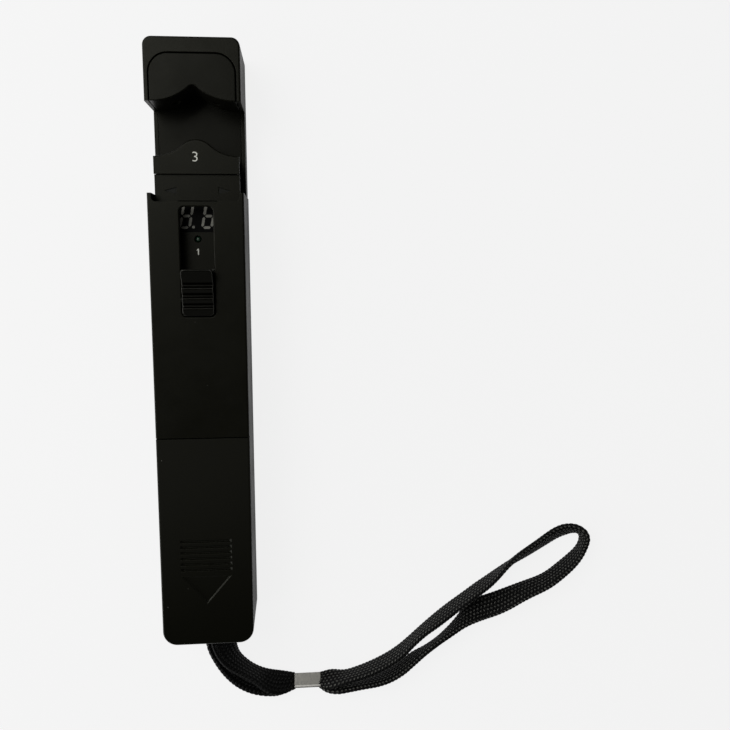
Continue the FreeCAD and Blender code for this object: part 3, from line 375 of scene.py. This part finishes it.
def cell_foam():
    # Closed-cell foam, cut from sheet: dull grey, pitted with open cells of about 0.6 mm.
    material, tree, shader, place = new_finish("Closed-cell foam, cut", IOR=1.4, Roughness=0.95)
    cells = add_node(tree, "ShaderNodeTexVoronoi", {"Vector": place, "Scale": 1 / (0.6 * MM)})
    tint = add_node(tree, "ShaderNodeValToRGB", {"Fac": cells.outputs["Distance"]},
                    stops=((0.1, linear("#2c2c2c")), (0.6, linear("#5f5f5e"))))
    bump = add_node(tree, "ShaderNodeBump", {"Height": cells.outputs["Distance"], "Distance": 0.15 * MM})
    tree.links.new(tint.outputs["Color"], shader.inputs["Base Color"])
    tree.links.new(bump.outputs["Normal"], shader.inputs["Normal"])
    return material


def nylon_braid(name, crown_glint_colour, settings):
    # Black nylon yarn, braided flat: the crowns are smoother, so they glint in the light, and are tinted
    # paler as a painted glint; the gaps stay black.
    material, tree, shader, place = new_finish(name, IOR=1.53, Specular_IOR_Level=0.08)
    crown = add_node(tree, "ShaderNodeAttribute", attribute_name="crown")
    # Filaments of about 0.03 mm are drawn at 0.16 mm so that they show.
    fibres = add_node(tree, "ShaderNodeTexNoise", {
        "Vector": place, "Scale": 1 / (0.16 * MM), "Detail": 3.0})
    height = add_node(tree, "ShaderNodeMath", {
        0: crown.outputs["Fac"], 1: fibres.outputs["Fac"]}, operation="MULTIPLY")
    # The paler crowns are a painted glint.
    tint = add_node(tree, "ShaderNodeValToRGB", {"Fac": height.outputs["Value"]},
                    stops=((0.4, settings.gap_colour), (0.58, crown_glint_colour)))
    gloss = add_node(tree, "ShaderNodeMapRange", {
        "Value": height.outputs["Value"], "From Min": 0.25, "From Max": 0.5, "To Min": 0.6, "To Max": 0.2})
    relief = add_node(tree, "ShaderNodeMath", {
        0: fibres.outputs["Fac"], 1: 0.15, 2: crown.outputs["Fac"]}, operation="MULTIPLY_ADD")
    bump = add_node(tree, "ShaderNodeBump", {
        "Height": relief.outputs["Value"], "Distance": settings.crown_height})
    tree.links.new(tint.outputs["Color"], shader.inputs["Base Color"])
    tree.links.new(gloss.outputs["Result"], shader.inputs["Roughness"])
    tree.links.new(bump.outputs["Normal"], shader.inputs["Normal"])
    return material


def screen_ink(colour):
    # Ink, screen-printed: an even matt white film, thinner where the mesh starved it.
    material, tree, shader, place = new_finish("Ink, screen-printed", IOR=1.5, Roughness=0.6)
    grit = add_node(tree, "ShaderNodeTexNoise", {"Vector": place, "Scale": 1 / (0.3 * MM), "Detail": 3.0})
    thin = tuple(0.75 * c for c in colour[:3]) + (1.0,)
    tint = add_node(tree, "ShaderNodeValToRGB", {"Fac": grit.outputs["Fac"]},
                    stops=((0.3, thin), (0.5, colour)))
    tree.links.new(tint.outputs["Color"], shader.inputs["Base Color"])
    return material


def studio_floor(colour):
    # Painted floor: pale and plain. It shows at its own colour, and keeps a light shadow of the object.
    material, tree, shader, _ = new_finish(
        "Painted board, sprayed", Roughness=0.9, IOR=1.3, Base_Color=colour)
    seen_share, mirrored_share = 0.93, 0.5
    path = add_node(tree, "ShaderNodeLightPath")
    straight = add_node(tree, "ShaderNodeMath", {
        0: path.outputs["Is Camera Ray"], 1: path.outputs["Is Transmission Ray"]}, operation="MAXIMUM")
    plain = add_node(tree, "ShaderNodeMath", {
        0: straight.outputs["Value"], 1: seen_share}, operation="MULTIPLY")
    share = add_node(tree, "ShaderNodeMath", {
        0: path.outputs["Is Glossy Ray"], 1: mirrored_share, 2: plain.outputs["Value"]},
        operation="MULTIPLY_ADD", use_clamp=True)
    glow = add_node(tree, "ShaderNodeEmission", {"Color": colour, "Strength": 1.0})
    mixed = add_node(tree, "ShaderNodeMixShader", {
        "Fac": share.outputs["Value"], 1: shader.outputs["BSDF"], 2: glow.outputs["Emission"]})
    output = next(node for node in tree.nodes if node.type == "OUTPUT_MATERIAL")
    tree.links.new(mixed.outputs["Shader"], output.inputs["Surface"])
    return material


def coat(node, material):
    """Gives a CAD node one finish."""
    mesh = NODES[node].data
    mesh.materials.clear()
    mesh.materials.append(material)


def dress(materials):
    """Gives every CAD node whose slot is named the finish of that slot."""
    for node, slot in SLOT_OF_NODE.items():
        if slot in materials:
            coat(node, materials[slot])


# Mesh helpers

def new_piece(name, mesh, material, body):
    """Puts a mesh in the scene as a piece that rides on a body."""
    piece = bpy.data.objects.new(name, mesh)
    bpy.context.scene.collection.objects.link(piece)
    mesh.materials.append(material)
    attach(piece, body)
    return piece


def add_prism(form, outline, low, high):
    """Adds a flat plate between two heights to a bmesh."""
    upper = [form.verts.new((x, y, high)) for x, y in outline]
    lower = [form.verts.new((x, y, low)) for x, y in outline]
    form.faces.new(upper)
    form.faces.new(lower[::-1])
    for i in range(len(upper)):
        j = (i + 1) % len(upper)
        form.faces.new((upper[i], lower[i], lower[j], upper[j]))


def prism_mesh(name, form):
    """The mesh of a bmesh of plates, with its faces turned outward."""
    bmesh.ops.recalc_face_normals(form, faces=form.faces)
    mesh = bpy.data.meshes.new(name)
    form.to_mesh(mesh)
    form.free()
    return mesh


def spline_points(route):
    """Points along the NURBS spline that has the route's points as its control points, in metres."""
    curve = bpy.data.curves.new("route", "CURVE")
    curve.dimensions = "3D"
    curve.resolution_u = 30
    spline = curve.splines.new("NURBS")
    spline.points.add(len(route) - 1)
    for point, place in zip(spline.points, route):
        point.co = (*(MM * c for c in place[:3]), 1.0)
    spline.order_u = 3
    spline.use_endpoint_u = True
    holder = bpy.data.objects.new("route", curve)
    bpy.context.scene.collection.objects.link(holder)
    mesh = bpy.data.meshes.new_from_object(holder)
    points = np.array([vertex.co[:] for vertex in mesh.vertices])
    bpy.data.objects.remove(holder)
    bpy.data.curves.remove(curve)
    bpy.data.meshes.remove(mesh)
    return points


def flat_oval(count, ratio):
    """Outline of a flat oval of unit width, in even steps: places and outward directions."""
    # Powers below one push an ellipse out towards its corners.
    across_power, out_power, fine_steps = 0.55, 0.7, 4001
    turn = np.linspace(0.0, math.tau, fine_steps)
    across = 0.5 * np.sign(np.cos(turn)) * np.abs(np.cos(turn)) ** across_power
    out = 0.5 * ratio * np.sign(np.sin(turn)) * np.abs(np.sin(turn)) ** out_power
    steps = np.concatenate([[0.0], np.cumsum(np.hypot(np.diff(across), np.diff(out)))])
    even = np.arange(count) / count * steps[-1]
    places = np.stack([np.interp(even, steps, across), np.interp(even, steps, out)], axis=1)
    ahead = np.roll(places, -1, axis=0) - np.roll(places, 1, axis=0)
    return places, unit(np.stack([ahead[:, 1], -ahead[:, 0]], axis=1))


def unit(vectors):
    """The vectors at length one."""
    return vectors / np.linalg.norm(vectors, axis=1, keepdims=True)


def path_lengths(points):
    """The length passed at each point of a path."""
    return np.concatenate([[0.0], np.cumsum(np.linalg.norm(np.diff(points, axis=0), axis=1))])


def tube_mesh(name, rings, smooth):
    """A closed skin over rings of points, shape (ring, point, 3)."""
    count, around = rings.shape[:2]
    index = np.arange(count * around).reshape(count, around)
    turned = np.roll(index, -1, axis=1)
    quads = np.stack([index[:-1], turned[:-1], turned[1:], index[1:]], axis=-1).reshape(-1, 4)
    caps = [index[0][::-1].tolist(), index[-1].tolist()]
    mesh = bpy.data.meshes.new(name)
    mesh.from_pydata(rings.reshape(-1, 3).tolist(), [], quads.tolist() + caps)
    mesh.polygons.foreach_set("use_smooth", [smooth] * len(mesh.polygons))
    mesh.update()
    return mesh


def braid_mesh(name, route, settings):
    """A flat braid along a route: rows of yarn crowns over a flat oval that rolls about its line."""
    line = spline_points(route)
    shortest_step = 1e-7
    steps = np.linalg.norm(np.diff(line, axis=0), axis=1)
    line = line[np.concatenate([[True], steps > shortest_step])]
    along = path_lengths(line)
    share = along / along[-1]
    ahead = unit(np.gradient(line, along, axis=0))
    # The sideways direction is level, and keeps its sense where the strap turns over round the pin.
    left = unit(np.cross((0.0, 0.0, 1.0), ahead))
    flips = np.sign(np.einsum("ij,ij->i", left[1:], left[:-1]))
    left[1:] *= np.cumprod(flips)[:, None]
    over = np.cross(ahead, left)

    # The lean and the width run smoothly from one point of the route to the next.
    smoothing = 1.6 * MM
    stations = np.array(route)
    passed = path_lengths(stations[:, :3])
    reach = np.exp(-0.5 * ((along[:, None] - along[None, :]) / smoothing) ** 2)
    reach /= reach.sum(axis=1, keepdims=True)
    lean = np.radians(reach @ np.interp(share, passed / passed[-1], stations[:, 3]))[:, None]
    broad = settings.width * (reach @ np.interp(share, passed / passed[-1], stations[:, 4]))[:, None]
    across = np.cos(lean) * left - np.sin(lean) * over
    face = np.cos(lean) * over + np.sin(lean) * left

    # Each crown is a blunt mound, skewed one way in even rows and the other way in odd ones.
    per_row, skew, across_power, along_power, mid_height = 5, 0.35, 2.2, 2.6, 0.55
    around = settings.rows * per_row
    places, outward = flat_oval(around, settings.thickness / settings.width)
    row = np.arange(around) // per_row
    in_row = (np.arange(around) % per_row + 0.5) / per_row
    side = np.where(row % 2 == 0, 1.0, -1.0)
    beat = along[:, None] / settings.crown_pitch + 0.5 * (row % 2) + skew * side * (in_row - 0.5)
    in_beat = beat - np.floor(beat)
    mound_across = 1 - np.abs(2 * in_row - 1) ** across_power
    mound_along = 1 - np.abs(2 * in_beat - 1) ** along_power
    crown = mound_across[None, :] * mound_along
    rise = settings.crown_height * (crown - mid_height)
    sideways = broad * places[None, :, 0] + rise * outward[None, :, 0]
    upward = settings.width * places[None, :, 1] + rise * outward[None, :, 1]
    rings = line[:, None, :] + sideways[..., None] * across[:, None, :] + upward[..., None] * face[:, None, :]
    # Where the braid rests, it is pressed flat on the floor.
    resting_height = 0.02 * MM
    rings[..., 2] = np.maximum(rings[..., 2], resting_height)
    mesh = tube_mesh(name, rings, smooth=True)
    heights = crown.ravel().astype(np.float32)
    mesh.attributes.new("crown", "FLOAT", "POINT").data.foreach_set("value", heights)
    return mesh, line, along[-1]


# Operators

class FIBRE_OT_case(bpy.types.Operator):
    """Gives the shells, the door, the panel and the inner mouldings their plastic"""
    bl_idname = "fibre.case"
    bl_label = "Case mouldings"

    def execute(self, context):
        settings = context.scene.fibre_case
        dress({
            "abs_black": moulded_abs(
                "ABS, moulded in a spark-eroded tool", settings, settings.case_colour, settings.wear_and_highlight_colour,
                edge=settings.edge, grain=settings.grain, depth=0.012 * MM, roughness=0.40, sheen=0.076),
            "abs_insert": moulded_abs(
                "ABS, moulded in a polished tool", settings, settings.insert_colour, settings.wear_and_highlight_colour,
                edge=settings.edge, grain=2 * settings.grain, depth=0.006 * MM, roughness=0.36, sheen=0.055),
            "lens_smoke": smoked_acrylic(),
        })
        # The slider is glossy and black on its flats; the pale lines along its ridges are a painted
        # highlight.
        coat("thumb_slider", moulded_abs(
            "ABS, moulded and rubbed to a gloss", settings, settings.slider_colour, settings.ridge_highlight_colour,
            edge=3 * settings.edge, grain=2 * settings.grain, depth=0.001 * MM, roughness=0.1, sheen=0.05))
        reach = [vertex.co.y for vertex in NODES["battery_door"].data.vertices]
        coat("battery_door", moulded_abs(
            "ABS, moulded and rubbed at one end", settings, settings.case_colour, settings.wear_and_highlight_colour,
            edge=settings.edge, grain=settings.grain, depth=0.012 * MM, roughness=0.66, sheen=0.092,
            rubbed=(min(reach), max(reach), 0.28)))
        return {"FINISHED"}


class FIBRE_OT_electronics(bpy.types.Operator):
    """Finishes the boards, packages, films and lamps"""
    bl_idname = "fibre.electronics"
    bl_label = "Electronics"

    def execute(self, context):
        dress({
            "board_green": solder_mask(),
            "chip_black": moulded_package(
                "Filled epoxy, moulded package", linear("#161616"), linear("#222221"), roughness=0.6),
            "chip_white": moulded_package(
                "Nylon, moulded lamp body", linear("#dcdad2"), linear("#efeee8"), roughness=0.45),
            "connector_ivory": moulded_package(
                "Nylon, moulded connector", linear("#d8d1ba"), linear("#e9e4d2"), roughness=0.5),
            "ribbon_white": laminated_film(
                "Polyester film, laminated", linear("#e9e9e4"), linear("#a9abad"), pitch=1.0 * MM),
            "flex_amber": laminated_film(
                "Polyimide film, laminated", linear("#a8671c"), linear("#8a4d12"), pitch=0.8 * MM),
            "display_black": display_epoxy(
                "Epoxy, cast display face", linear("#020202"), linear("#040404"), roughness=0.4, sheen=0.02),
            "lamp_green": lamp_epoxy(),
        })
        return {"FINISHED"}


class FIBRE_OT_hardware(bpy.types.Operator):
    """Finishes the battery, its leads and pad, and the screws, springs and contacts"""
    bl_idname = "fibre.hardware"
    bl_label = "Battery and hardware"

    def execute(self, context):
        dress({
            "battery_can": lacquered_can(),
            "foam_grey": cell_foam(),
            "lead_red": moulded_package(
                "Vinyl, extruded red", linear("#8e1614"), linear("#a81d1a"), roughness=0.42),
            "lead_black": moulded_package(
                "Vinyl, extruded black", linear("#141414"), linear("#1f1f1e"), roughness=0.42),
            "can_steel": drawn_metal(
                "Steel, drawn and nickel-plated", linear("#b4b1a8"), linear("#cfccc2"),
                roughness=0.25, streak=0.5 * MM),
            "screw_steel": drawn_metal(
                "Steel, zinc-plated", linear("#9fa1a2"), linear("#c0c2c3"), roughness=0.34, streak=0.4 * MM),
            "spring_steel": drawn_metal(
                "Spring steel, drawn wire", linear("#8f8f8e"), linear("#b2b2b0"),
                roughness=0.3, streak=0.3 * MM),
            "contact_brass": drawn_metal(
                "Brass, rolled strip", linear("#a88442"), linear("#c9a45a"), roughness=0.3, streak=0.5 * MM),
        })
        return {"FINISHED"}


class FIBRE_OT_digits(bpy.types.Operator):
    """Inlays the segments of the two-digit display"""
    bl_idname = "fibre.digits"
    bl_label = "Display digits"

    def execute(self, context):
        settings = context.scene.fibre_display
        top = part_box("display_module")[1][2]
        sunk, proud = 0.05 * MM, 0.03 * MM
        middle_y = 44.2 * MM
        left_x, right_x = -3.77 * MM, 3.3 * MM
        point_x, point_y = -1.7 * MM, 40.7 * MM
        gap, tip = 0.26 * MM, settings.stroke / 2
        half_w = settings.digit_width / 2 - tip
        half_h = settings.digit_height / 2 - tip
        bars = [((-half_w, y), (half_w, y)) for y in (half_h, 0.0, -half_h)]
        bars += [((x, y), (x, y + half_h)) for x in (-half_w, half_w) for y in (-half_h, 0.0)]
        form = bmesh.new()
        # The display reads an eight, a point and a six.
        for centre, shown in ((left_x, bars), (right_x, bars[:-1])):
            for start, end in shown:
                a, b = Vector(start), Vector(end)
                run = (b - a).normalized()
                side = Vector((-run[1], run[0])) * tip
                a, b = a + run * gap, b - run * gap
                inner_a, inner_b = a + run * tip, b - run * tip
                outline = (a, inner_a + side, inner_b + side, b, inner_b - side, inner_a - side)
                flat = [(centre + p[0] + p[1] * math.tan(settings.slant), middle_y + p[1]) for p in outline]
                add_prism(form, flat, top - sunk, top + proud)
        bmesh.ops.create_cone(
            form, cap_ends=True, segments=24, radius1=0.5 * MM, radius2=0.46 * MM, depth=sunk + proud,
            matrix=Matrix.Translation((point_x, point_y, top + (proud - sunk) / 2)))
        mesh = prism_mesh("display_digits", form)
        dim = tuple(0.85 * c for c in settings.segment_colour[:3]) + (1.0,)
        material = display_epoxy(
            "Epoxy, cast segments", dim, settings.segment_colour, roughness=0.4, sheen=0.06)
        new_piece("display_digits", mesh, material, "carriage")
        return {"FINISHED"}


class FIBRE_OT_numerals(bpy.types.Operator):
    """Prints the plain numerals on the adapter and beside the lamp"""
    bl_idname = "fibre.numerals"
    bl_label = "Numerals"

    def execute(self, context):
        material = screen_ink(context.scene.fibre_display.numeral_colour)
        film = 0.02 * MM
        three_x, three_y, three_size, three_stretch = -0.35 * MM, 62.5 * MM, 4.4 * MM, 1.1
        stroke_trim = -0.04 * MM
        text = bpy.data.curves.new("numeral", "FONT")
        text.body, text.size = "3", three_size
        text.align_x, text.align_y = "CENTER", "CENTER"
        text.extrude, text.offset = film / 2, stroke_trim
        holder = bpy.data.objects.new("numeral", text)
        context.scene.collection.objects.link(holder)
        three = bpy.data.meshes.new_from_object(holder)
        bpy.data.objects.remove(holder)
        bpy.data.curves.remove(text)
        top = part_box("adapter_head")[1][2]
        stretch = Matrix.Diagonal((three_stretch, 1.0, 1.0, 1.0))
        three.transform(Matrix.Translation((three_x, three_y, top + film)) @ stretch)
        three.name = "adapter_numeral"
        three.materials.clear()
        new_piece("adapter_numeral", three, material, "adapter")

        # A one with a flag, 1.9 mm tall: up the right edge, across the top, the flag, and down the stem.
        one = (
            (0.3, -0.95), (0.3, 0.95), (0.0, 0.95), (-0.42, 0.62),
            (-0.42, 0.3), (-0.06, 0.52), (-0.06, -0.95),
        )
        one_x, one_y = -0.4, 32.8
        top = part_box("indicator_panel")[1][2]
        form = bmesh.new()
        outline = [((x + one_x) * MM, (y + one_y) * MM) for x, y in one]
        add_prism(form, outline, top + film / 4, top + film)
        new_piece("lamp_numeral", prism_mesh("lamp_numeral", form), material, "carriage")
        return {"FINISHED"}


class FIBRE_OT_strap(bpy.types.Operator):
    """Builds the wrist strap: two strands from the pin, the crimped ferrule and the loop"""
    bl_idname = "fibre.strap"
    bl_label = "Wrist strap"

    def execute(self, context):
        settings = context.scene.fibre_strap
        # The anchor and the loop differ only in painted glint: shaded at the anchor, lit on the loop.
        plain = nylon_braid("Nylon yarn, braided flat", settings.shaded_glint_colour, settings)
        rubbed = nylon_braid("Nylon yarn, braided flat, lit glints painted", settings.lit_glint_colour, settings)
        ferrule = self.ferrule()
        strands = (
            ("strap_braid_anchor", ANCHOR, plain, ("strap_anchor_lower", "strap_anchor_upper"), []),
            ("strap_braid_loop", LOOP, rubbed, ("strap_loop",), [ferrule]),
        )
        for name, route, material, nodes, fittings in strands:
            mesh, line, length = braid_mesh(name, route, settings)
            piece = new_piece(name, mesh, material, "base")
            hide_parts(*nodes)
        return {"FINISHED"}

    def ferrule(self):
        """A strip folded flat round the strap and rolled to the head side, its end lapped along one edge."""
        low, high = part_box("strap_ferrule")
        start, end = low[0], high[0]
        centre_y, centre_z, roll = -125.7 * MM, 2.5 * MM, math.radians(25.0)
        half_broad, half_deep, fold = 2.55 * MM, 1.55 * MM, 0.3 * MM
        lap_proud, lap_width, lap_fold, lap_slope = 0.25 * MM, 1.0 * MM, 0.35 * MM, 0.04 * MM
        chamfer = 0.14 * MM
        # Outline of the fold, from the lapped corner round to the corner below it.
        corners = ((1, 1, lap_fold, lap_proud), (-1, 1, fold, 0.0), (-1, -1, fold, 0.0), (1, -1, fold, 0.0))
        arc = np.linspace(0.0, math.pi / 2, 9)
        outline = []
        for quarter, (across, up, corner, proud) in enumerate(corners):
            x, y = across * (half_broad - corner), up * (half_deep - corner) + proud
            angle = arc + quarter * math.pi / 2
            outline += [(x + corner * math.cos(a), y + corner * math.sin(a)) for a in angle]
            if quarter == 0:
                edge = half_broad - lap_width
                outline += [(edge, half_deep + lap_proud), (edge - lap_slope, half_deep)]
        outline = np.array(outline)
        rings = []
        for x, inset in ((start, chamfer), (start + chamfer, 0.0), (end - chamfer, 0.0), (end, chamfer)):
            side = outline[:, 0] * (1 - inset / half_broad)
            rise = outline[:, 1] * (1 - inset / half_deep)
            y = centre_y - side * math.cos(roll) + rise * math.sin(roll)
            z = centre_z + side * math.sin(roll) + rise * math.cos(roll)
            rings.append(np.stack([np.full(len(outline), x), y, z], axis=1))
        mesh = tube_mesh("strap_sleeve", np.array(rings)[:, ::-1], smooth=False)
        crimped = drawn_metal(
            "Nickel-plated brass, crimped", linear("#7a7975"), linear("#88867f"),
            roughness=0.36, streak=0.5 * MM)
        sleeve = new_piece("strap_sleeve", mesh, crimped, "base")
        # The flat of the lap stands proud, and its paler metal is a painted highlight.
        mesh.materials.append(drawn_metal(
            "Nickel-plated brass, painted highlight", linear("#aaa9a4"), linear("#b8b6b0"),
            roughness=0.34, streak=0.5 * MM))
        lap_flat = len(outline) - 1 - len(arc)
        for face in range(lap_flat, (len(rings) - 1) * len(outline), len(outline)):
            mesh.polygons[face].material_index = 1
        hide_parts("strap_ferrule")
        return sleeve


class FIBRE_OT_stage(bpy.types.Operator):
    """Sets the floor, the soft lights, the world and the camera"""
    bl_idname = "fibre.stage"
    bl_label = "Stage"

    def execute(self, context):
        scene, settings = context.scene, context.scene.fibre_stage
        scene.view_settings.view_transform = "Standard"
        floor_reach, floor_height = 4.0, -0.05 * MM
        form = bmesh.new()
        bmesh.ops.create_grid(form, x_segments=8, y_segments=8, size=floor_reach)
        mesh = bpy.data.meshes.new("floor")
        form.to_mesh(mesh)
        form.free()
        mesh.materials.append(studio_floor(settings.floor_colour))
        floor = bpy.data.objects.new("floor", mesh)
        floor.location = (0.0, 0.0, floor_height)
        scene.collection.objects.link(floor)

        # Each light: its power, its breadth and height, and its place in metres. All face the object.
        lamps = (
            ("key", settings.key_power, (0.40, 0.40), (-0.25, 0.26, 0.57)),
            ("strip", settings.strip_power, (0.90, 0.20), (-0.78, -0.18, 0.16)),
            ("fill", settings.fill_power, (0.24, 0.24), (-0.36, -0.20, 0.52)),
        )
        for name, power, (breadth, height), place in lamps:
            light = bpy.data.lights.new(name, "AREA")
            light.energy, light.shape = power, "RECTANGLE"
            light.size, light.size_y = breadth, height
            lamp = bpy.data.objects.new(name, light)
            lamp.location = place
            lamp.rotation_euler = (-Vector(place)).to_track_quat("-Z", "Y").to_euler()
            scene.collection.objects.link(lamp)

        # A pale room that darkens overhead, where the camera hangs, and towards the right.
        world = bpy.data.worlds.new("studio")
        world.use_nodes = True
        tree = world.node_tree
        tree.nodes.clear()
        way = add_node(tree, "ShaderNodeTexCoord")
        overhead = add_node(tree, "ShaderNodeVectorMath", {
            0: way.outputs["Generated"], 1: (0.3, 0.0, 1.0)}, operation="DOT_PRODUCT")
        shade = add_node(tree, "ShaderNodeValToRGB", {"Fac": overhead.outputs["Value"]}, stops=(
            (0.0, linear("#f2f2f2")), (0.35, linear("#d8d8d8")),
            (0.75, linear("#6a6a6a")), (1.0, linear("#4a4a4a"))))
        glow = add_node(tree, "ShaderNodeBackground", {"Color": shade.outputs["Color"], "Strength": 0.8})
        add_node(tree, "ShaderNodeOutputWorld", {"Surface": glow.outputs["Background"]})
        scene.world = world

        camera = bpy.data.cameras.new("camera")
        camera.sensor_width = SENSOR_WIDTH
        camera.lens = SENSOR_WIDTH * FOCAL_PIXELS / FRAME_PIXELS
        camera.clip_start, camera.clip_end = 0.005, 20.0
        eye = bpy.data.objects.new("camera", camera)
        turned = Matrix((CAMERA_RIGHT, CAMERA_UP, -Vector(CAMERA_AHEAD))).transposed()
        eye.matrix_world = Matrix.Translation(Vector(CAMERA_PLACE) * MM) @ turned.to_4x4()
        scene.collection.objects.link(eye)
        scene.camera = eye
        return {"FINISHED"}


class FIBRE_PT_panel(bpy.types.Panel):
    """Lists the steps that dress the fibre identifier"""
    bl_idname = "FIBRE_PT_panel"
    bl_label = "Fibre Identifier"
    bl_space_type = "VIEW_3D"
    bl_region_type = "UI"
    bl_category = "Fibre Identifier"

    def draw(self, context):
        for operator in OPERATORS:
            self.layout.operator(operator.bl_idname)


SETTINGS = {
    "fibre_case": CaseSettings, "fibre_strap": StrapSettings,
    "fibre_display": DisplaySettings, "fibre_stage": StageSettings,
}
OPERATORS = (
    FIBRE_OT_stage, FIBRE_OT_strap, FIBRE_OT_case, FIBRE_OT_electronics,
    FIBRE_OT_hardware, FIBRE_OT_digits, FIBRE_OT_numerals,
)


def register():
    for name, group in SETTINGS.items():
        bpy.utils.register_class(group)
        setattr(bpy.types.Scene, name, bpy.props.PointerProperty(type=group))
    for cls in (*OPERATORS, FIBRE_PT_panel):
        bpy.utils.register_class(cls)


def unregister():
    for cls in reversed((*OPERATORS, FIBRE_PT_panel)):
        bpy.utils.unregister_class(cls)
    for name, group in reversed(SETTINGS.items()):
        delattr(bpy.types.Scene, name)
        bpy.utils.unregister_class(group)


def main():
    register()
    bpy.ops.fibre.stage()
    bpy.ops.fibre.strap()
    bpy.ops.fibre.case()
    bpy.ops.fibre.electronics()
    bpy.ops.fibre.hardware()
    bpy.ops.fibre.digits()
    bpy.ops.fibre.numerals()


if __name__ == "__main__":
    main()
